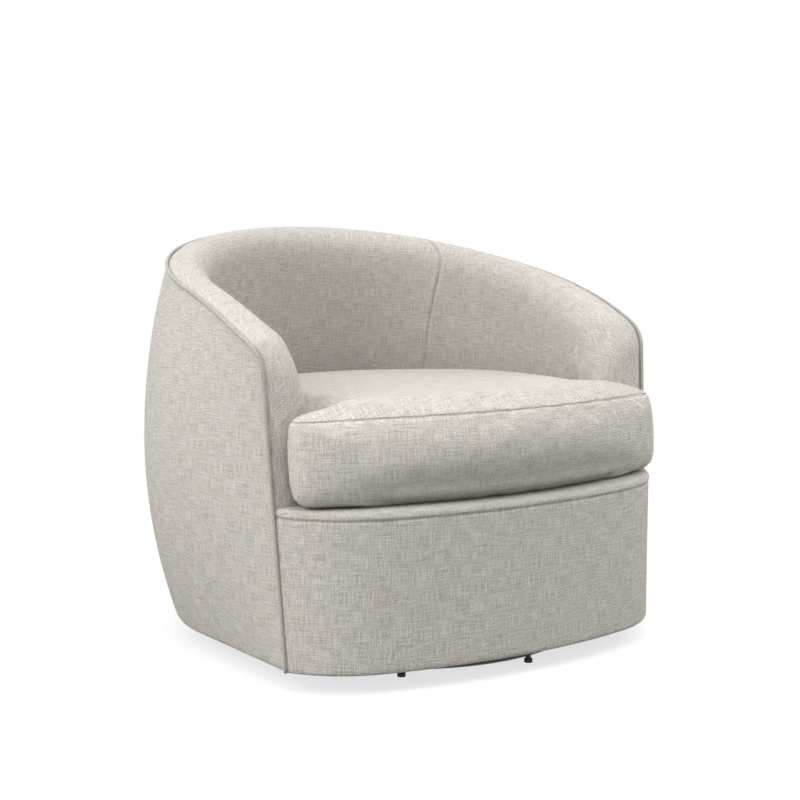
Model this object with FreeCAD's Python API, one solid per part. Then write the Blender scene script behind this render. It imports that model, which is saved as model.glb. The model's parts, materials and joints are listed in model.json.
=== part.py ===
import FreeCAD, Part
import math
import os

# Swivel barrel chair, upholstered shell on a ring base.
# Millimetres, +Z up, front faces -Y, left is -X.
# Origin: on the floor under the centre of the barrel's round back.

# Barrel shell, seen from outside
belly_half_width = 425.0
belly_height = 345.0
shell_bottom = 31.5
bottom_half_width = 372.0
profile_top = 730.0
profile_top_half_width = 355.0
arm_bottom_half_width = 374.0
arm_flare = 0.034
front_edge_at_bottom = -287.0
front_edge_lean = 0.078
bow_front = -414.0
bow_split = 250.0
bow_sag = 31.0

# Rim line, seen from the side
rim_at_centre = 621.0
rim_slope_back = 0.226
rim_front_curve = 1060.0
rim_corner = 26.0

# Upholstered wall
back_thickness = 84.0
arm_thickness = 100.0
front_roundover = 34.0
roll_crown = 10.0
roll_peak = 0.4
roll_shoulder = 70.0
roll_corner = 90.0
back_seam_half_width = 250.0
cover = 3.0
layer_gap = 0.15
wadding = 6.0
backing = 3.0
frame_depth = 28.0
webbing = 2.0
roll_foam = 45.0
front_foam = 14.0

# Seat platform
deck_top = 293.0
deck_cover_thickness = 2.0
deck_foam = 18.0
deck_roll = 14.0
deck_gap = 0.8
board = 18.0
seat_ring_width = 104.0
bottom_ring_width = 62.0
rib_width = 45.0
rib_angles = (90.0, 56.0, 124.0, 22.0, 158.0)
front_rib_offsets = (-180.0, 0.0, 180.0)
arm_post_width = 40.0
arm_rib_y = -172.0

# Springs
spring_count = 5
spring_spacing = 96.0
spring_wire = 1.9
spring_loops = 11
spring_half_width = 22.0
tie_wire = 1.4
tie_places = (-190.0, 40.0)
clip_size = 26.0
clip_depth = 16.0
clip_thickness = 1.5
clip_play = 0.05

# Cushion
cushion_height = 143.0
cushion_crown = 25.0
cushion_fall_back = 26.5
cushion_front = -425.0
ear_half_width = 382.0
ear_back_corner = 42.0
ear_front_corner = 40.0
ear_side = 2.0
cushion_gap = 1.2
cushion_lift = 60.0
cushion_cover = 2.0
zipper_length = 420.0
zipper_height = 7.0
low_seam_share = 0.04
cushion_bottom_inset = 16.0
cushion_top_inset = 8.0
crown_narrowing = 0.6
crown_shortening = 0.75

# Swivel and base
axis_y = -62.0
ring_radius = 300.0
ring_tube = 8.0
glide_count = 8
glide_first_angle = 10.5
glide_radius = 7.0
glide_height = 6.0
glide_neck = 4.5
glide_neck_height = 5.0
glide_screw = 2.0
spoke_width = 30.0
spoke_height = 10.0
plate_side = 180.0
plate_thickness = 3.0
race_radius = 70.0
race_width = 18.0
race_height = 9.5
ball_radius = 5.0
ball_count = 24
ball_play = 0.1
cage_thickness = 2.0
cage_margin = 2.0
pin_radius = 8.0
pin_play = 0.08
pin_tail = 2.0
washer_radius = 16.0
washer_thickness = 2.0
nut_flats = 24.0
nut_height = 8.0
bolt_radius = 4.0
bolt_head_radius = 7.0
bolt_head_height = 4.0
bolt_tail = 3.0
screw_tail = 2.0
plate_bolt_offset = 70.0
spoke_bolt_offset = 77.0
mounting_board_width = 90.0
t_nut_radius = 11.0
t_nut_thickness = 2.0

# Trim
piping_radius = 3.0
piping_proud = 1.2
piping_lead = 14.0
dust_cover_thickness = 1.0
dust_cover_hole = 140.0
hem_width = 45.0
seat_clear = 0.3
roll_start = piping_radius
roll_rise = 0.8
roll_fall = 0.74

# Reach of the blocks that cut and divide, past every piece
beyond = 700.0
beyond_top = 900.0
cut_past = 5.0
cut_wide = 20.0
open_past = 60.0
join_reach = 40.0

# Heights that follow
frame_inset = cover + wadding + backing
frame_inner = frame_inset + frame_depth
pad_inset = frame_inner + webbing
ring_low = shell_bottom + cover
ring_high = ring_low + board
deck_low = deck_top - deck_cover_thickness - deck_foam
spring_height = deck_low - seat_clear - spring_wire
seat_ring_high = spring_height - spring_wire - clip_thickness - clip_play
seat_ring_low = seat_ring_high - board
wall_low = seat_ring_high
cushion_low = deck_top + seat_clear
seam_height = cushion_low + cushion_height
tube_centre = glide_height + glide_neck_height + ring_tube
spoke_low = tube_centre - spoke_height / 2
spoke_high = tube_centre + spoke_height / 2
lower_plate_high = spoke_high + plate_thickness
upper_plate_high = ring_high
upper_plate_low = upper_plate_high - plate_thickness
ball_height = (lower_plate_high + upper_plate_low) / 2

UP = FreeCAD.Vector(0, 0, 1)
ALONG_X = FreeCAD.Vector(1, 0, 0)


def vec(x, y, z):
    return FreeCAD.Vector(x, y, z)


def line(a, b):
    return Part.LineSegment(a, b).toShape()


def arc(a, b, c):
    return Part.Arc(a, b, c).toShape()


def bend(a, b, c):
    """An arc through three points, or a line where they are in line."""
    if (b - a).cross(c - a).Length < 0.02 * (c - a).Length:
        return line(a, c)
    return arc(a, b, c)


def circle_drop(distance, reach, drop):
    """How far a circular arc that falls by drop over reach has fallen at distance."""
    radius = (reach ** 2 + drop ** 2) / (2 * drop)
    return radius - math.sqrt(radius ** 2 - distance ** 2)


def barrel_radius(z):
    if z < belly_height:
        drop = belly_half_width - bottom_half_width
        return belly_half_width - circle_drop(belly_height - z, belly_height - shell_bottom, drop)
    drop = belly_half_width - profile_top_half_width
    return belly_half_width - circle_drop(z - belly_height, profile_top - belly_height, drop)


def arm_half_width(z):
    return arm_bottom_half_width + arm_flare * (z - shell_bottom)


def front_edge(z):
    return front_edge_at_bottom + front_edge_lean * (z - shell_bottom)


def rim_height(y):
    """Height of the outer top edge, rising to the back."""
    if y > 0:
        return rim_at_centre + rim_slope_back * y
    turn = math.atan(rim_slope_back)
    centre_y = math.sin(turn) * rim_front_curve
    centre_z = rim_at_centre - math.cos(turn) * rim_front_curve
    return centre_z + math.sqrt(rim_front_curve ** 2 - (y - centre_y) ** 2)


def levels(low, high, count):
    return [low + (high - low) * i / (count - 1) for i in range(count)]


def loft(wires, ruled=False):
    """A solid through closed wires, turned the right way out."""
    solid = Part.makeLoft(wires, True, ruled)
    if solid.Volume < 0:
        solid.reverse()
    return solid


def barrel_wire(z, inset_back, inset_arm, inset_front):
    """Plan of the barrel at height z: round back, arms drawn in to the front edge."""
    r = barrel_radius(z) - inset_back
    w = arm_half_width(z) - inset_arm
    edge = front_edge(z)
    y = edge + max(inset_front, 0.0)
    share = y / edge
    end = r + (w - r) * share ** 2
    half = r + (w - r) * share ** 2 / 4
    diagonal = r * math.sqrt(0.5)
    edges = [
        arc(vec(r, 0, z), vec(diagonal, diagonal, z), vec(0, r, z)),
        arc(vec(0, r, z), vec(-diagonal, diagonal, z), vec(-r, 0, z)),
        bend(vec(-r, 0, z), vec(-half, y / 2, z), vec(-end, y, z)),
    ]
    front = edge + inset_front
    if inset_front < 0:
        edges.append(line(vec(-end, y, z), vec(-end, front, z)))
    edges.append(line(vec(-end, front, z), vec(end, front, z)))
    if inset_front < 0:
        edges.append(line(vec(end, front, z), vec(end, y, z)))
    edges.append(bend(vec(end, y, z), vec(half, y / 2, z), vec(r, 0, z)))
    return Part.Wire(edges)


def barrel_solid(inset, low, high, inset_front=None, inset_arm=None):
    inset_front = inset if inset_front is None else inset_front
    inset_arm = inset if inset_arm is None else inset_arm
    wires = [barrel_wire(z, inset, inset_arm, inset_front) for z in levels(low, high, 7)]
    return loft(wires)


def bow_edges(z, half_width, y_side, y_front, split, sag):
    """A full front in plan: a shallow middle arc with a tighter shoulder at each end."""
    radius = (split ** 2 + sag ** 2) / (2 * sag)
    tangent = math.asin(split / radius)
    chord_x = half_width - split
    chord_y = y_side - (y_front + sag)
    chord = math.hypot(chord_x, chord_y)
    slope = math.atan2(chord_y, chord_x)
    bulge = chord / 2 * math.tan((slope - tangent) / 2)
    mid_x = split + chord_x / 2 + bulge * math.sin(slope)
    mid_y = y_side - chord_y / 2 - bulge * math.cos(slope)
    corner = vec(split, y_front + sag, z)
    left_corner = vec(-split, y_front + sag, z)
    return [
        arc(vec(-half_width, y_side, z), vec(-mid_x, mid_y, z), left_corner),
        arc(left_corner, vec(0, y_front, z), corner),
        arc(corner, vec(mid_x, mid_y, z), vec(half_width, y_side, z)),
    ]


def bow_wire(z, inset, back_reach=0.0):
    w = arm_half_width(z) - inset
    y = front_edge(z) + back_reach
    edges = bow_edges(z, w, front_edge(z), bow_front + inset, bow_split, bow_sag)
    right = vec(w, front_edge(z), z)
    left = vec(-w, front_edge(z), z)
    if back_reach:
        back_right = vec(w, y, z)
        back_left = vec(-w, y, z)
        edges += [line(right, back_right), line(back_right, back_left), line(back_left, left)]
    else:
        edges.append(line(right, left))
    return Part.Wire(edges)


def bow_solid(inset, low, high, back_reach=0.0):
    return loft([bow_wire(z, inset, back_reach) for z in (low, high)], True)


def bow_with_roll(inset, low, back_reach=0.0):
    """The front panel's form, with its top edge rolled in towards the seat platform."""
    high = deck_top - inset
    radius = deck_roll
    wires = [bow_wire(z, inset, back_reach) for z in (low, high - radius)]
    for turn in (18.0, 36.0, 54.0, 72.0, 90.0):
        angle = math.radians(turn)
        z = high - radius + radius * math.sin(angle)
        wires.append(bow_wire(z, inset + radius * (1 - math.cos(angle)), back_reach))
    return loft(wires, True)


def side_prism(drop, inset_front, low, rounded):
    """Everything behind the arms' front edge and under the rim, less the given distances."""
    far = beyond
    y_front = front_edge(rim_at_centre) + inset_front
    for _ in range(8):
        z_front = rim_height(y_front) - drop
        y_front = front_edge(z_front) + inset_front
    y_middle = y_front / 2
    start = vec(-far, y_front, rim_height(y_front) - drop)
    middle = vec(-far, y_middle, rim_height(y_middle) - drop)
    end = vec(-far, 0, rim_height(0) - drop)
    rear = vec(-far, far, rim_height(far) - drop)
    foot = vec(-far, front_edge(low) + inset_front, low)
    wire = Part.Wire([
        line(foot, start),
        arc(start, middle, end),
        line(end, rear),
        line(rear, vec(-far, far, low)),
        line(vec(-far, far, low), foot),
    ])
    prism = Part.Face(wire).extrude(ALONG_X * (2 * far))
    if rounded <= 0:
        return prism
    across = vec(0, start.y, start.z)
    corner = [edge for edge in prism.Edges if edge.CenterOfMass.distanceToPoint(across) < 1]
    return prism.makeFillet(rounded, corner)


def station_point(share, inward, z, angle=None):
    """A point of the wall. On an arm share runs from 0 at the front edge to 1 at the barrel's centre."""
    if angle is None:
        y = front_edge(z) * (1 - share)
        r = barrel_radius(z)
        w = arm_half_width(z)
        x = r + (w - r) * (1 - share) ** 2
        return vec(x - inward, y, z)
    r = barrel_radius(z) - inward
    return vec(r * math.cos(math.radians(angle)), r * math.sin(math.radians(angle)), z)


def rim_at_station(share, angle, behind_edge):
    """Rim height where the station's plane meets it, lowered in the rounded front corner."""
    z = rim_at_centre
    for _ in range(12):
        z = rim_height(station_point(share, 0, z, angle).y)
    if behind_edge < rim_corner:
        z -= rim_corner - math.sqrt(rim_corner ** 2 - (rim_corner - behind_edge) ** 2)
    return z


def wall_section(share, angle, skin, outer_inset, low):
    """Closed section of the padded wall: outer side, rounded top roll and inner side."""
    behind = 2 * roll_corner if angle is not None else abs(front_edge(wall_low)) * share - skin
    behind = max(0.0, behind)
    top = rim_at_station(share, angle, behind) - skin
    start = max(outer_inset, roll_start)
    roll = 1.0
    if behind < front_roundover:
        roll = math.sqrt(1 - (1 - behind / front_roundover) ** 2)
    forward = 0.0 if angle is not None else 1 - share
    full = back_thickness + (arm_thickness - back_thickness) * forward ** 2
    thickness = full - front_roundover * (1 - roll)
    inner = thickness - skin
    crown_inset = roll_peak * thickness
    crown_height = top + roll_crown * roll
    fall_inset = crown_inset + (inner - crown_inset) * roll_fall
    corner_drop = 0.0
    if behind < roll_corner:
        corner_drop = roll_corner - math.sqrt(roll_corner ** 2 - (roll_corner - behind) ** 2)

    def point(inward, z):
        return station_point(share, inward, z, angle)

    edges = [bend(point(outer_inset, low), point(outer_inset, (low + top) / 2), point(outer_inset, top))]
    if outer_inset < start:
        edges.append(line(point(outer_inset, top), point(start, top)))
    crown = point(crown_inset, crown_height)
    rise = point((crown_inset + start) / 2, top + roll_crown * roll * roll_rise)
    shoulder_height = crown_height - roll_shoulder - corner_drop
    fall = roll_shoulder * (1 - math.sqrt(1 - roll_fall ** 2))
    shoulder = point(inner, shoulder_height)
    mid_height = crown_height - fall - corner_drop * roll_fall ** 2
    edges.append(bend(point(start, top), rise, crown))
    edges.append(arc(crown, point(fall_inset, mid_height), shoulder))
    foot = point(inner, low)
    edges.append(bend(shoulder, point(inner, (shoulder_height + low) / 2), foot))
    edges.append(line(foot, point(outer_inset, low)))
    return Part.Wire(edges)


def mirrored(shape):
    return shape.mirror(vec(0, 0, 0), ALONG_X)


def wall_form(skin, outer_inset, low):
    """The padded wall as its right arm and its round back, set in by skin from what shows."""
    length = abs(front_edge(wall_low))
    behind = [skin + front_roundover * k for k in (0.0, 0.04, 0.15, 0.35, 0.65, 1.0)]
    corner = levels(behind[-1], roll_corner, 4)[1:]
    rest = levels(roll_corner, length, 5)[1:-1]
    shares = [b / length for b in behind + corner + rest] + [1.0]
    arm = loft([wall_section(s, None, skin, outer_inset, low) for s in shares], True)
    back = loft([wall_section(1.0, a, skin, outer_inset, low) for a in levels(0.0, 180.0, 13)])
    return arm, back


def slab(low, high):
    return Part.makeBox(2 * beyond, 2 * beyond, high - low, vec(-beyond, -beyond, low))


def side_half(side):
    """The half of space to the left (-1) or the right (1) of the middle plane."""
    return Part.makeBox(beyond, 2 * beyond, beyond_top, vec(min(0.0, side * beyond), -beyond, 0))


def between_back_seams():
    return Part.makeBox(2 * back_seam_half_width, beyond, beyond_top, vec(-back_seam_half_width, 0, 0))


def shell_zone(outer, inner, low, high):
    """The layer of the barrel's wall between two insets, open at the front."""
    hollow = barrel_solid(inner, low - cut_past, high + cut_past, -open_past)
    return barrel_solid(outer, low, high).cut(hollow)


def footprint(inset, low, high):
    """Barrel and bowed front together, for boards that follow the whole plan."""
    deep = bow_solid(inset, low, high, join_reach)
    return barrel_solid(inset, low, high, join_reach / 2).fuse(deep).removeSplitter()


def ring_board(outer, inner, low, high):
    return footprint(outer, low, high).cut(footprint(inner, low - cut_past, high + cut_past))


def plate_corners():
    o = plate_bolt_offset
    return [(x, axis_y + y) for x in (-o, o) for y in (-o, o)]


def cylinder(radius, x, y, low, high):
    return Part.makeCylinder(radius, high - low, vec(x, y, low), UP)


def drill(shape, radius, places):
    """Round holes right through, at each of the places."""
    for x, y in places:
        shape = shape.cut(cylinder(radius, x, y, -beyond, beyond))
    return shape


def around(centre_x, centre_y, radius, angles):
    turns = [math.radians(a) for a in angles]
    return [(centre_x + radius * math.cos(t), centre_y + radius * math.sin(t)) for t in turns]


def cross_bar(size_x, size_y):
    corner = vec(-size_x / 2, axis_y - size_y / 2, spoke_low)
    return Part.makeBox(size_x, size_y, spoke_height, corner)


def make_base():
    """Ring of round tube on small glides, with a cross that carries the lower plate."""
    parts = {}
    angles = [glide_first_angle + 360.0 / glide_count * i for i in range(glide_count)]
    places = around(0, axis_y, ring_radius, angles)
    tube = Part.makeTorus(ring_radius, ring_tube, vec(0, axis_y, tube_centre), UP)
    screws = [cylinder(glide_screw, x, y, glide_height / 2, tube_centre) for x, y in places]
    ring = tube
    glides = []
    for (x, y), screw in zip(places, screws):
        foot = cylinder(glide_radius, x, y, 0, glide_height)
        neck = cylinder(glide_neck, x, y, glide_height, tube_centre)
        glides.append(foot.fuse(neck).removeSplitter().cut(tube).cut(screw))
        ring = ring.cut(screw)
    parts["base_ring"] = ring
    parts["glides"] = Part.makeCompound([g for glide in glides for g in glide.Solids])
    parts["glide_screws"] = Part.makeCompound(screws)

    length = 2 * ring_radius
    turned = cross_bar(length, spoke_width).fuse(cross_bar(spoke_width, length)).removeSplitter()
    turned.rotate(vec(0, axis_y, 0), UP, 45.0)
    cross = max(turned.cut(tube).Solids, key=lambda s: s.Volume)

    corner = vec(-plate_side / 2, axis_y - plate_side / 2, spoke_high)
    lower = Part.makeBox(plate_side, plate_side, plate_thickness, corner)
    o = spoke_bolt_offset
    spoke_bolts = [(x, axis_y + y) for x in (-o, o) for y in (-o, o)]
    bolts = []
    for x, y in spoke_bolts:
        head = cylinder(bolt_head_radius, x, y, lower_plate_high, lower_plate_high + bolt_head_height)
        shank = cylinder(bolt_radius, x, y, spoke_low - screw_tail, lower_plate_high)
        bolts.append(head.fuse(shank).removeSplitter())
    centre = [(0, axis_y)]
    parts["base_cross"] = drill(drill(cross, bolt_radius, spoke_bolts), pin_radius, centre)
    parts["lower_swivel_plate"] = drill(drill(lower, bolt_radius, spoke_bolts), pin_radius, centre)
    parts["plate_screws"] = Part.makeCompound(bolts)

    groove = Part.makeTorus(race_radius, ball_radius + ball_play, vec(0, axis_y, ball_height), UP)
    outer = race_radius + race_width / 2
    inner = race_radius - race_width / 2
    race = cylinder(outer, 0, axis_y, lower_plate_high, lower_plate_high + race_height)
    parts["lower_race"] = drill(race, inner, centre).cut(groove)
    race = cylinder(outer, 0, axis_y, upper_plate_low - race_height, upper_plate_low)
    parts["upper_race"] = drill(race, inner, centre).cut(groove)
    cage_low = ball_height - cage_thickness / 2
    cage = cylinder(outer - cage_margin, 0, axis_y, cage_low, cage_low + cage_thickness)
    cage = drill(cage, inner + cage_margin, centre)
    seats = around(0, axis_y, race_radius, [360.0 / ball_count * i for i in range(ball_count)])
    balls = [Part.makeSphere(ball_radius, vec(x, y, ball_height)) for x, y in seats]
    parts["bearing_balls"] = Part.makeCompound(balls)
    parts["ball_cage"] = drill(cage, ball_radius + ball_play, seats)

    nut_low = upper_plate_high + seat_clear + washer_thickness
    nut_high = nut_low + nut_height
    parts["centre_pin"] = cylinder(pin_radius, 0, axis_y, spoke_low, nut_high + pin_tail)
    washer = cylinder(washer_radius, 0, axis_y, nut_low - washer_thickness, nut_low)
    parts["pin_washer"] = drill(washer, pin_radius, centre)
    corners = around(0, axis_y, nut_flats / math.sqrt(3), [60.0 * i for i in range(7)])
    outline = Part.makePolygon([vec(x, y, nut_low) for x, y in corners])
    nut = Part.Face(outline).extrude(UP * nut_height)
    parts["pin_nut"] = drill(nut, pin_radius, centre)
    return parts


def make_swivel_top():
    """Upper plate of the swivel, and the boards and bolts that hold it to the frame."""
    parts = {}
    corner = vec(-plate_side / 2, axis_y - plate_side / 2, upper_plate_low)
    plate = Part.makeBox(plate_side, plate_side, plate_thickness, corner)
    plate = drill(plate, bolt_radius, plate_corners())
    parts["upper_swivel_plate"] = drill(plate, pin_radius + pin_play, [(0, axis_y)])
    boards = []
    nuts = []
    bolts = []
    board_high = ring_high + board
    limit = footprint(frame_inner + seat_clear, ring_high - cut_past, board_high + cut_past)
    for side in (-1, 1):
        y = axis_y + side * plate_bolt_offset - mounting_board_width / 2
        plank = Part.makeBox(2 * beyond, mounting_board_width, board, vec(-beyond, y, ring_high))
        boards.append(drill(plank.common(limit), bolt_radius, plate_corners()))
    bolt_high = board_high + t_nut_thickness + bolt_tail
    for x, y in plate_corners():
        head = cylinder(bolt_head_radius, x, y, upper_plate_low - bolt_head_height, upper_plate_low)
        shank = cylinder(bolt_radius, x, y, upper_plate_low, bolt_high)
        bolts.append(head.fuse(shank).removeSplitter())
        nut = cylinder(t_nut_radius, x, y, board_high, board_high + t_nut_thickness)
        nuts.append(drill(nut, bolt_radius, [(x, y)]))
    parts["mounting_boards"] = Part.makeCompound([s for b in boards for s in b.Solids])
    parts["mounting_bolts"] = Part.makeCompound(bolts)
    parts["t_nuts"] = Part.makeCompound(nuts)
    return parts


def radial_rib(angle, zone):
    block = Part.makeBox(beyond, rib_width, beyond_top, vec(0, -rib_width / 2, 0))
    block.rotate(vec(0, 0, 0), UP, angle)
    return zone.common(block)


def make_frame():
    """Plywood rings joined by upright ribs, with a top rail that follows the rim."""
    parts = {}
    bottom_inner = frame_inset + bottom_ring_width
    seat_inner = frame_inset + seat_ring_width
    parts["bottom_ring"] = ring_board(frame_inset, bottom_inner, ring_low, ring_high)
    parts["seat_ring"] = ring_board(frame_inset, seat_inner, seat_ring_low, seat_ring_high)
    zone = shell_zone(frame_inset, frame_inner, ring_low, profile_top)
    lower_zone = zone.common(slab(ring_high, seat_ring_low))
    lower = [radial_rib(a, lower_zone) for a in rib_angles]
    arm_rib = Part.makeBox(2 * beyond, rib_width, beyond_top, vec(-beyond, arm_rib_y - rib_width / 2, 0))
    lower.append(lower_zone.common(arm_rib))
    parts["side_ribs"] = Part.makeCompound([s for r in lower for s in r.Solids])
    bow_zone = bow_solid(frame_inset, ring_high, seat_ring_low).cut(
        bow_solid(frame_inner, ring_high - cut_past, seat_ring_low + cut_past, open_past))
    front = []
    for x in front_rib_offsets:
        block = Part.makeBox(rib_width, beyond, beyond_top, vec(x - rib_width / 2, -beyond, 0))
        front.append(bow_zone.common(block))
    parts["front_ribs"] = Part.makeCompound([s for r in front for s in r.Solids])

    rail_low = roll_foam + board
    under_rail = side_prism(rail_low + layer_gap, front_foam, 0, 0)
    rail_top = side_prism(roll_foam, front_foam, 0, 0)
    above_seat = zone.common(slab(seat_ring_high, beyond_top))
    parts["top_rail"] = above_seat.common(rail_top).cut(side_prism(rail_low, -arm_post_width, 0, 0))
    upper_zone = above_seat.common(under_rail)
    upper = [radial_rib(a, upper_zone) for a in rib_angles]
    parts["back_ribs"] = Part.makeCompound([s for r in upper for s in r.Solids])
    for name, side in (("left_arm_post", -1), ("right_arm_post", 1)):
        behind_post = side_prism(0, front_foam + arm_post_width, 0, 0)
        post = zone.common(slab(ring_high, beyond_top)).common(under_rail)
        post = post.cut(behind_post).common(side_half(side)).cut(slab(seat_ring_low, seat_ring_high))
        parts[name] = Part.makeCompound(post.Solids)
    return parts


def make_springs():
    """Zigzag wire springs from the front of the seat ring to its back, held by clips."""
    parts = {}
    springs = []
    clips = []
    first = -(spring_count - 1) / 2
    front_y = bow_front + frame_inset + clip_size
    reach = barrel_radius(seat_ring_high) - back_thickness - clip_size
    for i in range(spring_count):
        x = (first + i) * spring_spacing
        front = front_y + circle_drop(abs(x), bow_split, bow_sag)
        back = math.sqrt(reach ** 2 - x ** 2)
        springs.append(zigzag(x, front, back))
        for y in (front, back):
            clips.append(clip(x, y))
    parts["sinuous_springs"] = Part.makeCompound(springs)
    parts["spring_clips"] = Part.makeCompound(clips)
    ties = []
    span = spring_spacing * (spring_count - 1) / 2 + 2 * spring_half_width
    z = spring_height - spring_wire - tie_wire - seat_clear / 2
    for y in tie_places:
        ties.append(Part.makeCylinder(tie_wire, 2 * span, vec(-span, y, z), ALONG_X))
    parts["tie_wires"] = Part.makeCompound(ties)
    return parts


def zigzag(x, front, back):
    """One flat zigzag of wire: straight runs across, joined by half turns."""
    pitch = (back - front) / spring_loops
    radius = pitch / 2
    run = spring_half_width - radius
    start = x
    side = 1
    pieces = []
    for i in range(spring_loops):
        y = front + pitch * i
        end = x + side * run
        begin = vec(start, y, spring_height)
        pieces.append(Part.makeCylinder(spring_wire, abs(end - start), begin, ALONG_X * side))
        turn = Part.makeTorus(radius, spring_wire, vec(0, 0, 0), UP, -180, 180, 180)
        turn.rotate(vec(0, 0, 0), UP, -90.0 * side)
        turn.translate(vec(end, y + radius, spring_height))
        pieces.append(turn)
        start = end
        side = -side
    last = Part.makeCylinder(spring_wire, abs(x - start), vec(start, back, spring_height), ALONG_X * side)
    return pieces[0].fuse(pieces[1:] + [last]).removeSplitter()


def clip(x, y):
    """A folded plate under and behind the wire's end."""
    corner = vec(x - clip_size / 2, y - clip_depth / 2, seat_ring_high)
    return Part.makeBox(clip_size, clip_depth, clip_thickness, corner)


def seat_room(low, high, gap):
    """The space between the padded walls at seat height, open at the front."""
    wires = [barrel_wire(z, back_thickness + gap, arm_thickness + gap, -1.0) for z in (low, high)]
    return loft(wires, True)


def make_seat_platform():
    """Springs carry a foam pad, and the deck cover is stretched over both."""
    parts = {}
    front = bow_solid(cover + deck_roll, deck_low, deck_top)
    whole = seat_room(deck_low, deck_top, deck_gap).fuse(front).removeSplitter()
    pad_top = deck_low + deck_foam
    parts["deck_pad"] = whole.common(slab(deck_low, pad_top))
    parts["deck_cover"] = whole.common(slab(pad_top, deck_top))
    return parts


def cushion_rear():
    """Radius of the cushion's back, clear of the inside back as the cushion lifts."""
    return barrel_radius(seam_height + cushion_lift) - back_thickness - cushion_gap


def cushion_height_at(z, y):
    """Height of a level of the cushion at depth y, as its top falls to the back."""
    fall = cushion_fall_back * (y - cushion_front) / (cushion_rear() - cushion_front)
    return cushion_low + (z - cushion_low) * (1 - fall / cushion_height)


def cushion_wire(z, inset, spread=1.0):
    """T plan of the cushion: ears in front of the arms and a round back between them."""
    narrow = 1 - (1 - spread) * crown_narrowing
    shallow = 1 - (1 - spread) * crown_shortening
    base = front_edge(cushion_height_at(z, front_edge(z))) - cushion_gap
    neck_z = cushion_height_at(z, base)
    rear = (cushion_rear() - inset) * shallow
    neck = (arm_half_width(neck_z) - arm_thickness - cushion_gap - inset) * narrow
    ear = (ear_half_width - inset) * spread
    back_y = base - inset
    front = back_y + (cushion_front + inset - back_y) * shallow
    back_corner = (ear_back_corner - inset) * spread
    front_corner = (ear_front_corner - inset) * spread
    side_high = back_y - back_corner
    side_low = side_high - ear_side
    corner_x = ear - front_corner
    depth = side_low - front
    bow = (corner_x ** 2 + depth ** 2 - front_corner ** 2) / (2 * (depth - front_corner))
    join_x = corner_x * bow / (bow - front_corner)
    join_y = front + bow + (side_low - front - bow) * bow / (bow - front_corner)
    across = math.atan2(corner_x, front + bow - side_low)
    middle = math.radians(45.0) + across / 2
    turn_x = corner_x + front_corner * math.sin(middle)
    turn_y = side_low - front_corner * math.cos(middle)
    diagonal = rear * math.sqrt(0.5)
    cut = back_corner * (1 - math.sqrt(0.5))
    waist = rear + (neck - rear) / 4

    def point(x, y):
        return vec(x, y, cushion_height_at(z, y))

    right = [
        [(rear, 0), (waist, back_y / 2), (neck, back_y)],
        [(neck, back_y), (ear - back_corner, back_y)],
        [(ear - back_corner, back_y), (ear - cut, back_y - cut), (ear, side_high)],
        [(ear, side_high), (ear, side_low)],
        [(ear, side_low), (turn_x, turn_y), (join_x, join_y)],
    ]
    edges = [arc(point(-rear, 0), point(-diagonal, diagonal), point(0, rear)),
             arc(point(0, rear), point(diagonal, diagonal), point(rear, 0))]
    for run in right:
        edges.append(through([point(x, y) for x, y in run]))
    edges.append(arc(point(join_x, join_y), point(0, front), point(-join_x, join_y)))
    for run in reversed(right):
        edges.append(through([point(-x, y) for x, y in reversed(run)]))
    return Part.Wire(edges)


def through(points):
    """A line through two points or an arc through three."""
    return line(*points) if len(points) == 2 else bend(*points)


def cushion_form(skin):
    """Crowned cushion whose boxed sides bulge between drawn-in seams."""
    bulge = ((0.04, 9.0), (0.12, 4.0), (0.28, 1.0), (0.5, 0.0), (0.72, 1.0), (0.88, 3.5))
    dome = ((0.0, 1.0), (0.3, 0.975), (0.55, 0.93), (0.75, 0.86), (0.9, 0.74), (1.0, 0.5))
    wires = [cushion_wire(cushion_low + skin, cushion_bottom_inset + skin)]
    for rise, inset in bulge:
        wires.append(cushion_wire(cushion_low + rise * cushion_height, inset + skin))
    crown = cushion_crown - skin
    for rise, spread in dome:
        wires.append(cushion_wire(seam_height + rise * crown, cushion_top_inset + skin, spread))
    return loft(wires, True)


def under_level(z):
    """Everything in the cushion's space below a level that falls to the back with its top."""
    corners = [(-beyond, 0.0), (beyond, 0.0), (beyond, cushion_height_at(z, beyond)),
               (-beyond, cushion_height_at(z, -beyond))]
    points = [vec(-beyond, y, height) for y, height in corners]
    return Part.Face(Part.makePolygon(points + points[:1])).extrude(ALONG_X * (2 * beyond))


def make_cushion():
    """Foam core in a boxed cover, with a zipper set in the back of the boxing."""
    parts = {}
    outside = cushion_form(0.0)
    core = cushion_form(cushion_cover)
    skin = outside.cut(core)
    below_low_seam = under_level(cushion_low + low_seam_share * cushion_height)
    below_seam = under_level(seam_height)
    parts["cushion_core"] = core
    parts["cushion_bottom_panel"] = skin.common(below_low_seam)
    boxing = skin.common(below_seam).cut(below_low_seam)
    parts["cushion_top_panel"] = skin.cut(below_seam)
    z = cushion_low + cushion_height / 2 - zipper_height / 2
    strip = Part.makeBox(zipper_length, beyond, zipper_height, vec(-zipper_length / 2, 0, z))
    zipper = boxing.common(strip)
    parts["cushion_boxing"] = boxing.cut(strip)
    parts["cushion_zipper"] = zipper
    return parts


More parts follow.
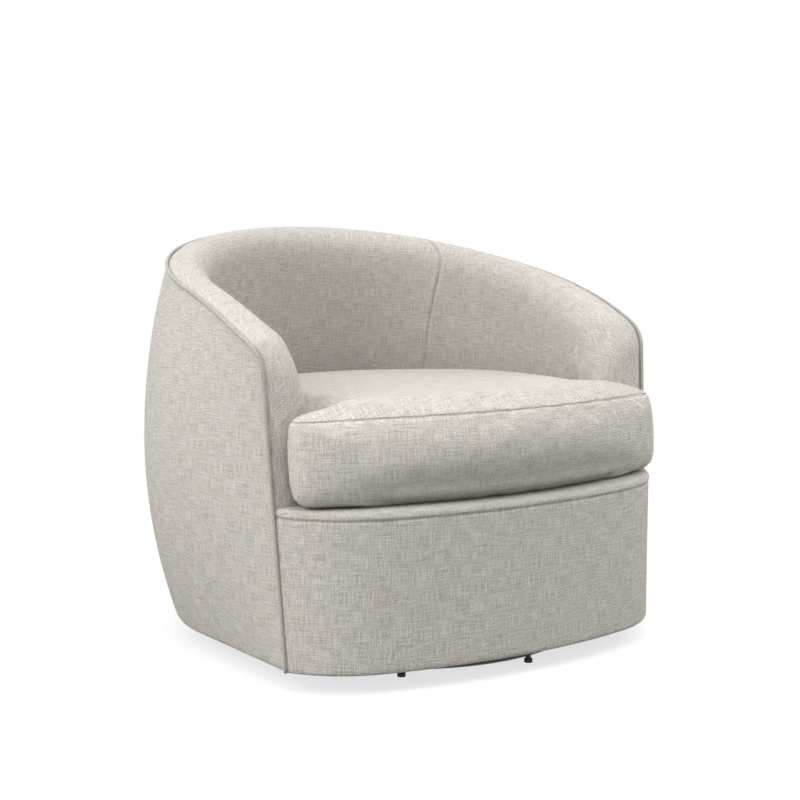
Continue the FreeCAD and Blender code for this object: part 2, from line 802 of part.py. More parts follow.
def make_upholstery():
    """Padding and covers of the walls, and the outside layers over the frame."""
    parts = {}
    low = wall_low + seat_clear
    arm, back = wall_form(0.0, roll_start, low)
    arm_core, back_core = wall_form(cover, -cut_wide, low - cut_wide)
    middle = between_back_seams()
    left_side = side_half(-1)
    skin_back = back.cut(back_core)
    left_rest = skin_back.cut(middle).common(left_side)
    left = mirrored(arm.cut(arm_core)).fuse(left_rest).removeSplitter()
    parts["inside_back_cover"] = skin_back.common(middle)
    parts["left_arm_cover"] = left
    parts["right_arm_cover"] = mirrored(left)

    arm_pad, back_pad = wall_form(cover + layer_gap, roll_start + layer_gap, low)
    solid_frame = side_prism(roll_foam - layer_gap, front_foam - layer_gap, 0, 0)
    inner = barrel_solid(pad_inset, low - cut_wide, profile_top, -open_past)
    frame_space = solid_frame.cut(inner)
    back_pad = back_pad.cut(frame_space)
    parts["inside_back_foam"] = back_pad.common(middle)
    rest = back_pad.cut(middle).common(left_side)
    left_pad = mirrored(arm_pad).cut(frame_space).fuse(rest).removeSplitter()
    parts["left_arm_foam"] = left_pad
    parts["right_arm_foam"] = mirrored(left_pad)

    under = side_prism(roll_foam, front_foam, 0, 0)
    webbing_low = seat_ring_high + seat_clear
    lining = shell_zone(frame_inner + layer_gap, pad_inset - layer_gap, webbing_low, profile_top)
    between_posts = side_prism(roll_foam + layer_gap, front_foam + arm_post_width, 0, 0)
    parts["inside_webbing"] = lining.common(between_posts)

    wadding_inset = cover + wadding
    stiff = shell_zone(wadding_inset, frame_inset - layer_gap, ring_low, profile_top)
    soft = shell_zone(cover + layer_gap, wadding_inset - layer_gap, ring_low, profile_top)
    parts["outside_backing"] = stiff.common(under)
    parts["outside_wadding"] = soft.common(under)
    outer = barrel_solid(0.0, shell_bottom, profile_top)
    hollow = barrel_solid(cover, ring_low, profile_top + cut_past, -open_past)
    hole = barrel_solid(hem_width, shell_bottom - cut_past, ring_low + cut_past, -open_past)
    outside = side_prism(0.0, 0.0, shell_bottom - cut_wide, rim_corner)
    parts["outer_cover"] = outer.cut(hollow).cut(hole).common(outside)
    return parts


def make_front_panel():
    """The bowed front below the cushion: cover, wadding and backing over the ribs."""
    parts = {}
    deck_edge = cover + deck_roll
    outer = bow_with_roll(0.0, shell_bottom)
    inside = bow_with_roll(cover, ring_low, open_past)
    hole = bow_solid(hem_width, shell_bottom - cut_past, ring_low + cut_past, open_past)
    flat = bow_solid(deck_edge, deck_low - cut_past, deck_top + cut_past, open_past)
    parts["front_panel_cover"] = outer.cut(inside).cut(hole).cut(flat)
    soft = bow_with_roll(cover + layer_gap, ring_low)
    stiff_side = bow_solid(cover + wadding, ring_low - cut_past, deck_low, open_past)
    parts["front_panel_wadding"] = soft.cut(stiff_side).cut(flat)
    stiff = bow_solid(cover + wadding + layer_gap, ring_low, deck_low)
    ribs_side = bow_solid(frame_inset - layer_gap, ring_low - cut_past, deck_low + cut_past, open_past)
    parts["front_panel_backing"] = stiff.cut(ribs_side)
    return parts


def piping_path():
    """Points of the cord of piping, from the left foot up, round the rim and down again."""
    proud = piping_proud
    points = []
    corner_z = rim_at_station(0.0, None, rim_corner)
    for z in levels(shell_bottom + piping_radius, corner_z - rim_corner - piping_lead, 7):
        points.append(station_point(0.0, -proud, z) + vec(0, -proud, 0))
    length = abs(front_edge(rim_at_centre))
    for turn in (0.0, 22.5, 45.0, 67.5):
        a = math.radians(turn)
        behind = rim_corner * (1 - math.cos(a))
        share = behind / length
        z = rim_at_station(share, None, rim_corner) - rim_corner * (1 - math.sin(a))
        points.append(station_point(share, -proud, z) + vec(0, -proud * math.cos(a), proud * math.sin(a)))
    for share in (rim_corner / length, 0.2, 0.35, 0.5, 0.7, 0.85):
        z = rim_at_station(share, None, 2 * rim_corner)
        points.append(station_point(share, -proud, z) + vec(0, 0, proud))
    for angle in levels(180.0, 90.0, 8):
        z = rim_at_station(1.0, angle, 2 * rim_corner)
        p = station_point(1.0, -proud, z, angle)
        points.append(vec(p.x, p.y, z + proud))
    left = [vec(-abs(p.x), p.y, p.z) for p in points]
    right = [vec(-p.x, p.y, p.z) for p in reversed(left[:-1])]
    return left + right


def make_piping():
    points = piping_path()
    rings = []
    for i, p in enumerate(points):
        ahead = points[min(i + 1, len(points) - 1)]
        behind = points[max(i - 1, 0)]
        rings.append(Part.Wire([Part.Circle(p, ahead - behind, piping_radius).toShape()]))
    return loft(rings)


def make_dust_cover():
    low = ring_low - dust_cover_thickness
    sheet = footprint(hem_width + seat_clear, low, ring_low)
    return drill(sheet, dust_cover_hole, [(0, axis_y)])


def build():
    parts = {}
    parts.update(make_base())
    parts.update(make_swivel_top())
    parts.update(make_frame())
    parts.update(make_springs())
    parts.update(make_seat_platform())
    parts.update(make_upholstery())
    parts.update(make_front_panel())
    parts["rim_piping"] = make_piping()
    parts["dust_cover"] = make_dust_cover()
    parts.update(make_cushion())
    return parts


os.makedirs("parts", exist_ok=True)
for node, shape in build().items():
    shape.exportStep("parts/" + node + ".step")
    print(node, len(shape.Solids), round(shape.Volume), shape.isValid())
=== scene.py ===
import json
import math

import bmesh
import bpy
import numpy as np
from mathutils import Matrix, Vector

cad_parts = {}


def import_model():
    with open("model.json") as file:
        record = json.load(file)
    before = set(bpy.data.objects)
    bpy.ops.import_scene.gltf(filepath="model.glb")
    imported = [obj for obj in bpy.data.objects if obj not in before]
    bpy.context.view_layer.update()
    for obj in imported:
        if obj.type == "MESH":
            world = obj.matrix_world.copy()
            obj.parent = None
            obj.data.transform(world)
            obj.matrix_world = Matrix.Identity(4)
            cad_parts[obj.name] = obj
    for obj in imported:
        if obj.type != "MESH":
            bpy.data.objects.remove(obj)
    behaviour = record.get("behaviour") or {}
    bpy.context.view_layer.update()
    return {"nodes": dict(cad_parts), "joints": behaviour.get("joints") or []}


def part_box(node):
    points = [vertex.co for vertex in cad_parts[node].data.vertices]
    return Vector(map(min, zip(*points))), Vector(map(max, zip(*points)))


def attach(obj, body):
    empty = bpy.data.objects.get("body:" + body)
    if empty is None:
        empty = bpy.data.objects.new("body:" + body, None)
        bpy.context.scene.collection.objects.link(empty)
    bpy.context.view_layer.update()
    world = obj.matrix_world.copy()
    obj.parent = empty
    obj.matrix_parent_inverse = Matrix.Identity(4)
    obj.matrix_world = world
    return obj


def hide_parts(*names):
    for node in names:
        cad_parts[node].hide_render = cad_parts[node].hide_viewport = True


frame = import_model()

# Barrel shell, in metres, as the frame has it
BELLY_HALF_WIDTH = 0.425
BELLY_HEIGHT = 0.345
SHELL_BOTTOM = 0.0315
BOTTOM_HALF_WIDTH = 0.372
PROFILE_TOP = 0.730
PROFILE_TOP_HALF_WIDTH = 0.355
ARM_BOTTOM_HALF_WIDTH = 0.374
ARM_FLARE = 0.034
FRONT_EDGE_AT_BOTTOM = -0.287
FRONT_EDGE_LEAN = 0.078
BOW_FRONT = -0.414
BOW_SPLIT = 0.250
BOW_SAG = 0.031
RIM_AT_CENTRE = 0.621
RIM_SLOPE_BACK = 0.226
RIM_FRONT_CURVE = 1.060
RIM_CORNER = 0.026

# Padded wall
BACK_THICKNESS = 0.084
ARM_THICKNESS = 0.100
BACK_SEAM_X = 0.250
BACK_SEAM_RADIUS = 0.325
ROLL_CROWN = 0.0098
ROLL_DEEP = 0.062
FRONT_DEEP = 0.030
ROLL_CORNER = 0.090
PIPING_RADIUS = 0.0029
PIPING_PROUD = 0.0012
WALL_FOOT = 0.270

# Front panel and seat platform
DECK_TOP = 0.293
STITCH_HEIGHT = 0.2765
HEM_WIDTH = 0.045

# Cushion
CUSHION_LOW = 0.2936
CUSHION_HEIGHT = 0.143
CUSHION_CROWN = 0.025
CUSHION_FALL_BACK = 0.0265
CUSHION_FRONT = -0.425
EAR_HALF_WIDTH = 0.382
EAR_BACK_CORNER = 0.042
EAR_FRONT_CORNER = 0.040
EAR_SIDE = 0.002
EAR_DROOP = 0.003
CUSHION_GAP = 0.0012
CUSHION_LIFT = 0.060

# Plan path of the wall: zero at the back's centre, positive towards the right arm's front
QUARTER = 0.42 * math.pi / 2
ARM_LENGTH = 0.268
PATH_END = QUARTER + ARM_LENGTH
SEAM_PATH = QUARTER * math.asin(BACK_SEAM_X / BACK_SEAM_RADIUS) / (math.pi / 2)

# Camera, fitted to the photograph, which is taken as 800 x 800
CAMERA_PLACE = (-1.7449, -2.6222, 0.7934)
CAMERA_FORWARD = (0.55804, 0.82096, -0.12090)
CAMERA_LENS = 79.5

# Floor: how white the camera sees it near the chair, and from where to where that grows to full white
WORLD_LIGHT = 0.80
FLOOR_REACH = 9.0
FLOOR_BOUNCE = 0.26
FLOOR_WHITE = 0.72
FLOOR_NEAR = 0.75
FLOOR_FAR = 2.2


def circle_drop(distance, reach, drop):
    radius = (reach ** 2 + drop ** 2) / (2 * drop)
    return radius - np.sqrt(np.maximum(radius ** 2 - distance ** 2, 0))


def barrel_radius(z):
    z = np.asarray(z, float)
    low = circle_drop(BELLY_HEIGHT - z, BELLY_HEIGHT - SHELL_BOTTOM, BELLY_HALF_WIDTH - BOTTOM_HALF_WIDTH)
    high = circle_drop(z - BELLY_HEIGHT, PROFILE_TOP - BELLY_HEIGHT, BELLY_HALF_WIDTH - PROFILE_TOP_HALF_WIDTH)
    return BELLY_HALF_WIDTH - np.where(z < BELLY_HEIGHT, low, high)


def arm_half_width(z):
    return ARM_BOTTOM_HALF_WIDTH + ARM_FLARE * (np.asarray(z, float) - SHELL_BOTTOM)


def front_edge(z):
    return FRONT_EDGE_AT_BOTTOM + FRONT_EDGE_LEAN * (np.asarray(z, float) - SHELL_BOTTOM)


def rim_height(y):
    y = np.asarray(y, float)
    turn = math.atan(RIM_SLOPE_BACK)
    centre_y = math.sin(turn) * RIM_FRONT_CURVE
    centre_z = RIM_AT_CENTRE - math.cos(turn) * RIM_FRONT_CURVE
    curved = centre_z + np.sqrt(np.maximum(RIM_FRONT_CURVE ** 2 - (y - centre_y) ** 2, 0))
    return np.where(y > 0, RIM_AT_CENTRE + RIM_SLOPE_BACK * y, curved)


def wall_point(path, z, inset):
    """Points of the wall: path along the plan, height, and inset from the outer surface."""
    path, z, inset = np.broadcast_arrays(np.asarray(path, float), z, inset)
    r = barrel_radius(z)
    a = np.abs(path)
    angle = np.minimum(a / QUARTER, 1.0) * math.pi / 2
    x_back = (r - inset) * np.sin(angle)
    y_back = (r - inset) * np.cos(angle)
    t = (a - QUARTER) / ARM_LENGTH
    x_arm = r + (arm_half_width(z) - r) * t ** 2 - inset
    y_arm = front_edge(z) * t
    back = a <= QUARTER
    x = np.where(back, x_back, x_arm)
    y = np.where(back, y_back, y_arm)
    return np.stack([np.where(path < 0, -x, x), y, z], axis=-1)


def rim_on_path(path):
    """Height of the piping on the plan path, without the rounded front corner."""
    z = np.full(np.shape(path), RIM_AT_CENTRE)
    for _ in range(10):
        z = rim_height(wall_point(path, z, 0.0)[..., 1])
    return z


def full_thickness(path):
    t = np.clip((np.abs(path) - QUARTER) / ARM_LENGTH, 0, 1)
    return BACK_THICKNESS + (ARM_THICKNESS - BACK_THICKNESS) * t ** 2


def smooth(t):
    t = np.clip(t, 0, 1)
    return t * t * (3 - 2 * t)


def spaced(stops):
    """Values that run through (value, step) stops, each stretch cut evenly to about its step."""
    out = [stops[0][0]]
    for (a, _), (b, step) in zip(stops[:-1], stops[1:]):
        n = max(1, int(round(abs(b - a) / step)))
        out += [a + (b - a) * (i + 1) / n for i in range(n)]
    return np.array(out)


def curve_through(points, count):
    """Even samples of a smooth curve through 2-D control points."""
    p = np.array(points, float)
    p = np.vstack([2 * p[0] - p[1], p, 2 * p[-1] - p[-2]])
    fine = []
    for i in range(1, len(p) - 2):
        for t in np.linspace(0, 1, 24, endpoint=i == len(p) - 3):
            a = -0.5 * p[i - 1] + 1.5 * p[i] - 1.5 * p[i + 1] + 0.5 * p[i + 2]
            b = p[i - 1] - 2.5 * p[i] + 2 * p[i + 1] - 0.5 * p[i + 2]
            fine.append(((a * t + b) * t + 0.5 * (p[i + 1] - p[i - 1])) * t + p[i])
    fine = np.array(fine)
    length = np.r_[0, np.cumsum(np.linalg.norm(np.diff(fine, axis=0), axis=1))]
    at = np.linspace(0, length[-1], count)
    return np.stack([np.interp(at, length, fine[:, k]) for k in range(fine.shape[1])], 1)


def build_mesh(name, points, faces, cloth=None, flip=False):
    """A mesh object with smooth faces; cloth holds each point's place on the flat fabric, in metres."""
    points = np.asarray(points, float).reshape(-1, 3)
    if flip:
        faces = [tuple(reversed(f)) for f in faces]
    mesh = bpy.data.meshes.new(name)
    mesh.from_pydata([tuple(p) for p in points], [], [tuple(int(i) for i in f) for f in faces])
    mesh.validate()
    mesh.shade_smooth()
    if cloth is not None:
        store_cloth(mesh, cloth)
    obj = bpy.data.objects.new(name, mesh)
    bpy.context.scene.collection.objects.link(obj)
    return obj


def store_cloth(mesh, cloth):
    cloth = np.asarray(cloth, float).reshape(-1, 2)
    flat = np.zeros((len(cloth), 3), np.float32)
    flat[:, :2] = cloth
    attribute = mesh.attributes.get("cloth") or mesh.attributes.new("cloth", "FLOAT_VECTOR", "POINT")
    attribute.data.foreach_set("vector", flat.ravel())


def grid_faces(rows, columns, start=0, closed=False):
    faces = []
    for r in range(rows - 1):
        for c in range(columns if closed else columns - 1):
            d = (c + 1) % columns
            a = start + r * columns
            b = a + columns
            faces.append((a + c, a + d, b + d, b + c))
    return faces


def ripple(path, z, seed, scale):
    """Soft seeded unevenness of stretched fabric, about -1 to 1."""
    rng = np.random.default_rng(seed)
    total = np.zeros(np.broadcast(path, z).shape)
    for _ in range(7):
        k = rng.normal(0, 1, 2)
        k = k / np.linalg.norm(k) * rng.uniform(0.5, 1.6) / scale
        total = total + np.sin(k[0] * path + k[1] * z + rng.uniform(0, 2 * math.pi))
    return total / 4.0


def even_ripple(path, z, seed, scale):
    """The same unevenness, alike on both sides of the chair's middle."""
    return (ripple(path, z, seed, scale) + ripple(-path, z, seed, scale)) * 0.6


def socket(node, name, value):
    node.inputs[name].default_value = value


class Tree:
    """Short words for building a material's nodes."""

    def __init__(self, name):
        self.material = bpy.data.materials.new(name)
        self.material.use_nodes = True
        self.nodes = self.material.node_tree.nodes
        self.links = self.material.node_tree.links
        self.nodes.clear()
        self.output = self.nodes.new("ShaderNodeOutputMaterial")
        self.shader = self.nodes.new("ShaderNodeBsdfPrincipled")
        self.links.new(self.shader.outputs[0], self.output.inputs[0])

    def link(self, a, b):
        self.links.new(a, b)

    def value(self, operation, a, b=0.0, c=None, clamp=False):
        node = self.nodes.new("ShaderNodeMath")
        node.operation = operation
        node.use_clamp = clamp
        for i, v in enumerate((a, b, c)):
            if v is None:
                continue
            if hasattr(v, "is_linked"):
                self.link(v, node.inputs[i])
            else:
                node.inputs[i].default_value = v
        return node.outputs[0]

    def stretched(self, vector, scale):
        node = self.nodes.new("ShaderNodeMapping")
        self.link(vector, node.inputs["Vector"])
        node.inputs["Scale"].default_value = scale
        return node.outputs[0]

    def noise(self, vector, scale, detail=2.0, rough=0.5):
        node = self.nodes.new("ShaderNodeTexNoise")
        self.link(vector, node.inputs["Vector"])
        socket(node, "Scale", scale)
        socket(node, "Detail", detail)
        socket(node, "Roughness", rough)
        return node.outputs["Fac"]

    def ramp(self, factor, stops):
        node = self.nodes.new("ShaderNodeValToRGB")
        self.link(factor, node.inputs[0])
        ramp = node.color_ramp
        while len(ramp.elements) < len(stops):
            ramp.elements.new(0.5)
        for element, (place, colour) in zip(ramp.elements, stops):
            element.position = place
            element.color = (*colour, 1.0)
        return node.outputs[0]

    def mix(self, factor, a, b, blend="MIX"):
        node = self.nodes.new("ShaderNodeMix")
        node.data_type = "RGBA"
        node.blend_type = blend
        for v, i in ((factor, 0), (a, 6), (b, 7)):
            if hasattr(v, "is_linked"):
                self.link(v, node.inputs[i])
            else:
                node.inputs[i].default_value = v if i == 0 else (*v, 1.0)
        return node.outputs[2]

    def bump(self, height, strength, distance, before=None):
        node = self.nodes.new("ShaderNodeBump")
        socket(node, "Strength", strength)
        socket(node, "Distance", distance)
        self.link(height, node.inputs["Height"])
        if before is not None:
            self.link(before, node.inputs["Normal"])
        return node.outputs[0]


def woven_fabric(name, light, dark, warm, yarn=0.0021, contrast=1.0):
    """Heavy slub weave: crossed yarns of uneven thickness, flecked warm and cool."""
    t = Tree(name)
    place = t.nodes.new("ShaderNodeAttribute")
    place.attribute_name = "cloth"
    cloth = place.outputs["Vector"]
    wobble = t.nodes.new("ShaderNodeMix")
    wobble.data_type = "VECTOR"
    wobble.inputs[0].default_value = 0.0016
    soft = t.nodes.new("ShaderNodeTexNoise")
    socket(soft, "Scale", 90.0)
    t.link(cloth, soft.inputs["Vector"])
    t.link(cloth, wobble.inputs[4])
    t.link(soft.outputs["Color"], wobble.inputs[5])
    wavy = wobble.outputs[1]
    split = t.nodes.new("ShaderNodeSeparateXYZ")
    t.link(wavy, split.inputs[0])
    turn = math.pi / yarn
    warp = t.value("SINE", t.value("MULTIPLY", split.outputs[0], turn))
    weft = t.value("SINE", t.value("MULTIPLY", split.outputs[1], turn))
    weave = t.value("MULTIPLY", warp, weft)
    ribs = t.value("ADD", t.value("ABSOLUTE", warp), t.value("ABSOLUTE", weft))
    yarns = t.value("MULTIPLY_ADD", weave, 0.5, t.value("MULTIPLY", ribs, 0.35))
    warp_slub = t.noise(t.stretched(cloth, (1.0 / 0.0022, 1.0 / 0.030, 1.0)), 1.0, 2.0, 0.6)
    weft_slub = t.noise(t.stretched(cloth, (1.0 / 0.034, 1.0 / 0.0024, 1.0)), 1.0, 2.0, 0.6)
    fleck = t.noise(cloth, 360.0, 3.0, 0.75)
    patch = t.noise(cloth, 26.0, 3.0, 0.6)
    slub = t.value("ADD", t.value("MULTIPLY", warp_slub, 0.5), t.value("MULTIPLY", weft_slub, 0.5))
    tone = t.value("ADD", t.value("MULTIPLY", slub, 0.62), t.value("MULTIPLY", fleck, 0.38))
    tone = t.value("MULTIPLY_ADD", t.value("SUBTRACT", tone, 0.5), 4.6 * contrast, 0.5, clamp=True)
    base = t.ramp(tone, [(0.0, dark), (1.0, light)])
    warmth = t.value("MULTIPLY_ADD", t.value("SUBTRACT", weft_slub, 0.5), 3.0, 0.38, clamp=True)
    warmth = t.value("MULTIPLY", warmth, t.value("MULTIPLY_ADD", patch, 0.9, 0.1))
    colour = t.mix(t.value("MULTIPLY", warmth, 0.55), base, warm)
    # painted shade: the colour is darkened between the yarns, where the weave's hollows fall in shade
    yarn_gap_shade = t.value("SUBTRACT", 1.0, t.value("MULTIPLY", t.value("SUBTRACT", 1.0, ribs), 0.28, clamp=True))
    shade = t.nodes.new("ShaderNodeCombineColor")
    for i in range(3):
        t.link(yarn_gap_shade, shade.inputs[i])
    t.link(t.mix(0.55, colour, shade.outputs[0], "MULTIPLY"), t.shader.inputs["Base Color"])
    height = t.value("ADD", t.value("MULTIPLY", yarns, 0.5), t.value("MULTIPLY", slub, 1.3))
    height = t.value("ADD", height, t.value("MULTIPLY", fleck, 1.6))
    t.link(t.bump(height, 1.0, 0.0030), t.shader.inputs["Normal"])
    rough = t.value("MULTIPLY_ADD", fleck, 0.12, 0.84)
    t.link(rough, t.shader.inputs["Roughness"])
    socket(t.shader, "Sheen Weight", 0.22)
    socket(t.shader, "Sheen Roughness", 0.6)
    socket(t.shader, "Sheen Tint", (1.0, 0.96, 0.9, 1.0))
    socket(t.shader, "Specular IOR Level", 0.25)
    return t.material


def plain_material(name, light, dark, scale, rough, metallic=0.0, bump=0.0004, stretch=(1, 1, 1)):
    """A solid material with soft variation of colour, roughness and relief in object space."""
    t = Tree(name)
    where = t.nodes.new("ShaderNodeTexCoord")
    spread = t.stretched(where.outputs["Object"], stretch)
    coarse = t.noise(spread, scale, 4.0, 0.6)
    fine = t.noise(spread, scale * 9, 3.0, 0.6)
    both = t.value("ADD", t.value("MULTIPLY", coarse, 0.6), t.value("MULTIPLY", fine, 0.4))
    t.link(t.ramp(both, [(0.3, dark), (0.7, light)]), t.shader.inputs["Base Color"])
    t.link(t.value("MULTIPLY_ADD", fine, 0.2, rough - 0.1), t.shader.inputs["Roughness"])
    t.link(t.bump(both, 0.4, bump), t.shader.inputs["Normal"])
    socket(t.shader, "Metallic", metallic)
    return t.material


def dress(obj, material, body, slot_name, *nodes):
    obj.data.materials.clear()
    obj.data.materials.append(material)
    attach(obj, body)
    if nodes:
        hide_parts(*nodes)
    return obj


# Wall of the shell, outside

def side_columns():
    """Plan path values from the right arm's front edge to the left one, closer at corners."""
    corner = [PATH_END - RIM_CORNER * (1 - math.cos(a)) for a in np.linspace(0, math.pi / 2, 9)]
    rest = spaced([(corner[-1], 0.01), (-corner[-1], 0.0125)])[1:-1]
    return np.array(corner + list(rest) + [-c for c in reversed(corner)])


def piping_height(path):
    """Height of the piping's line on the path, with the rounded front corner."""
    a = np.abs(path)
    z = rim_on_path(a)
    behind = np.clip(PATH_END - a, 0, RIM_CORNER)
    return z - (RIM_CORNER - np.sqrt(np.maximum(RIM_CORNER ** 2 - (RIM_CORNER - behind) ** 2, 0)))


# Cloth turned in under the shell's bottom edge, as inset and height over the edge
HEM = [(HEM_WIDTH, 0.0012), (0.020, 0.0006), (0.0080, 0.0),
       (0.0042, 0.0005), (0.0018, 0.0022), (0.0005, 0.0050)]
HEM_TOP = 0.009


def outer_shell(material):
    columns = side_columns()
    top = piping_height(columns)
    shares = spaced([(0.0, 1), (0.02, 0.005), (0.97, 0.02), (1.0, 0.006)])
    rows = []
    cloth = []
    for inset, up in HEM:
        z = SHELL_BOTTOM + up
        rows.append(wall_point(columns, z, inset))
        cloth.append(np.stack([columns, np.full_like(columns, z - inset)], 1))
    low = SHELL_BOTTOM + HEM_TOP
    for s in shares:
        z = low + (top - low) * s
        edge = np.exp(-((top - z) / 0.007) ** 2) + np.exp(-((PATH_END - np.abs(columns)) / 0.007) ** 2)
        rear_seam = np.exp(-((np.abs(columns) - SEAM_PATH * 1.08) / 0.0045) ** 2)
        wave = ripple(columns, z, 11, 0.075) * 0.0006
        inset = 0.0012 * np.minimum(edge, 1.2) + 0.0018 * rear_seam + wave
        rows.append(wall_point(columns, z, inset))
        cloth.append(np.stack([columns, z], 1))
    faces = grid_faces(len(rows), len(columns))
    obj = build_mesh("outer_cover_cloth", np.array(rows), faces, np.array(cloth))
    return dress(
        obj, material, "seat_shell", "upholstery", "outer_cover", "outside_wadding", "outside_backing"
    )


# Wall of the shell, inside

FRONT_PROFILE = [(0.0012, 0.020), (-0.0020, 0.09), (-0.0030, 0.26), (-0.0018, 0.44), (0.0020, 0.60),
                 (0.20 * FRONT_DEEP, 0.755), (0.42 * FRONT_DEEP, 0.88),
                 (0.68 * FRONT_DEEP, 0.96), (FRONT_DEEP, 1.0)]
TOP_PROFILE = [(0.0010, 0.020), (-0.45 * ROLL_CROWN, 0.08), (-0.85 * ROLL_CROWN, 0.21), (-ROLL_CROWN, 0.38),
               (-0.80 * ROLL_CROWN, 0.56), (0.02 * ROLL_DEEP, 0.74), (0.25 * ROLL_DEEP, 0.885),
               (0.58 * ROLL_DEEP, 0.97), (ROLL_DEEP, 1.0)]
PROFILE_STEPS = 28


def profile_line(stops):
    """Even samples of a padding profile: depth, share of the wall's thickness, and length so far."""
    line = curve_through([(depth, share * ARM_THICKNESS) for depth, share in stops], PROFILE_STEPS)
    length = np.r_[0, np.cumsum(np.linalg.norm(np.diff(line, axis=0), axis=1))]
    return line[:, 0], line[:, 1] / ARM_THICKNESS, length


def seam_on_path(z, inset):
    """Plan path of the upright seam between an arm and the inside back."""
    return QUARTER * np.arcsin(BACK_SEAM_X / (barrel_radius(z) - inset)) / (math.pi / 2)


def seam_dip(away):
    """How far the fabric is drawn in at a distance from an inside seam."""
    away = np.abs(away)
    return 0.0032 * np.exp(-(away / 0.0040) ** 2) - 0.0009 * np.exp(-((away - 0.012) / 0.010) ** 2)


def inside_wall():
    """The inside, roll and arm front on the right side: points, arm faces, back faces and cloth places.

    Bands run along the free edge, up the arm's front, round its corner and along the rim, and go
    from the piping over the roll. The inner face hangs from the last band."""
    front_depth, front_share, front_length = profile_line(FRONT_PROFILE)
    top_depth, top_share, top_length = profile_line(TOP_PROFILE)
    way = np.linspace(0, 1, PROFILE_STEPS)
    radius = RIM_CORNER + (ROLL_CORNER - RIM_CORNER) * smooth(way)
    radius = radius - np.minimum(0, (front_depth + top_depth) / 2)
    line = PATH_END - front_depth
    start = line - radius
    rise = rim_on_path(line) - top_depth - radius - WALL_FOOT
    rises = np.linspace(0, 1, 24)
    turns = np.linspace(0, math.pi / 2, 13)[1:]
    far = start[-1] - SEAM_PATH
    to_seam = spaced([(far, 1), (0.016, 0.011), (0.0, 0.002)])[1:] / far
    past_seam = spaced([(SEAM_PATH, 1), (SEAM_PATH - 0.016, 0.002), (0.0, 0.012)])[1:] / SEAM_PATH

    def at_seam(path, seam_of):
        seam = np.full_like(path, SEAM_PATH)
        for _ in range(8):
            seam = seam_of(seam)
        return seam

    seam = at_seam(start, lambda p: seam_on_path(rim_on_path(p) - top_depth, top_share * full_thickness(p)))
    paths, heights, angles = [], [], []
    for v in rises:
        paths.append(line)
        heights.append(WALL_FOOT + v * rise)
        angles.append(0.0)
    for a in turns:
        path = line - radius * (1 - math.cos(a))
        paths.append(path)
        heights.append(rim_on_path(path) - top_depth - radius * (1 - math.sin(a)))
        angles.append(a)
    for path in [seam + (start - seam) * w for w in to_seam] + [seam * w for w in past_seam]:
        paths.append(path)
        heights.append(rim_on_path(path) - top_depth)
        angles.append(math.pi / 2)
    path = np.array(paths)
    z = np.array(heights)
    angle = np.array(angles)[:, None]
    blend = smooth(angle / (math.pi / 2))
    inset = (front_share * (1 - blend) + top_share * blend) * full_thickness(path)
    along_inset = np.gradient(inset, axis=1)
    along_z = np.gradient(z, axis=1)
    steep = np.maximum(np.hypot(along_inset, along_z), 1e-9)
    dip = seam_dip(path - seam_on_path(z, inset)) * (angle > 1.5)
    wave = even_ripple(path, z, 23, 0.085) * 0.0012 * smooth(way * 2)
    band_points = wall_point(path, z - dip * along_inset / steep, inset + dip * along_z / steep + wave)
    across = -path + np.cos(angle) * (front_length - front_depth)
    up = z + (1 - np.cos(angle)) * (top_depth + top_length[-1] - top_length)
    up = up + 0.75 * np.cos(angle) * (front_length[-1] - front_length)
    points = list(band_points.reshape(-1, 3))
    cloth = list(np.stack([across, up], -1).reshape(-1, 2))

    steps = PROFILE_STEPS
    corner_columns = len(rises) + len(turns)
    seam_column = corner_columns + len(to_seam) - 1
    columns = len(path)
    arm, back = [], []
    for k in range(columns - 1):
        group = back if k >= seam_column else arm
        for j in range(steps - 1):
            a = k * steps + j
            group.append((a, a + steps, a + steps + 1, a + 1))

    last = len(rises) - 1
    below = [[r * steps + steps - 1 for r in range(len(rises))]]
    weights = [None] * len(turns) + [("arm", w) for w in to_seam] + [("back", w) for w in past_seam]
    for c, weight in enumerate(weights):
        k = len(rises) + c
        z_down = WALL_FOOT + rises * (z[k, -1] - WALL_FOOT)
        turn = float(angle[k, 0])
        if weight is None:
            down = np.full(len(rises), path[k, -1])
        else:
            seam_down = at_seam(z_down, lambda p: seam_on_path(z_down, full_thickness(p)))
            kind, w = weight
            down = seam_down + (start[-1] - seam_down) * w if kind == "arm" else seam_down * w
        thick = full_thickness(down)
        dip_down = seam_dip(down - seam_on_path(z_down, thick)) * (turn > 1.5)
        wave_down = even_ripple(down, z_down, 23, 0.085) * 0.0012
        made = wall_point(down, z_down, thick - dip_down + wave_down)
        u = -down + math.cos(turn) * (front_length[-1] - front_depth[-1])
        v = z_down + (1 - math.cos(turn)) * top_depth[-1]
        column = []
        for r in range(last):
            points.append(made[r])
            cloth.append((u[r], v[r]))
            column.append(len(points) - 1)
        below.append(column + [k * steps + steps - 1])
    inner_seam = seam_column - last
    for c in range(len(below) - 1):
        group = back if c >= inner_seam else arm
        for r in range(last):
            group.append((below[c][r], below[c][r + 1], below[c + 1][r + 1], below[c + 1][r]))
    return np.array(points), arm, back, np.array(cloth)


def used_only(points, faces, cloth):
    used = sorted({i for f in faces for i in f})
    place = {old: new for new, old in enumerate(used)}
    return points[used], [tuple(place[i] for i in f) for f in faces], cloth[used]


def mirrored(points, faces, cloth):
    flipped = points * np.array([-1, 1, 1])
    return flipped, [tuple(reversed(f)) for f in faces], cloth * np.array([-1, 1])


def weld(obj, distance=0.00001):
    bm = bmesh.new()
    bm.from_mesh(obj.data)
    bmesh.ops.remove_doubles(bm, verts=bm.verts, dist=distance)
    bmesh.ops.recalc_face_normals(bm, faces=bm.faces)
    bm.to_mesh(obj.data)
    bm.free()
    obj.data.shade_smooth()


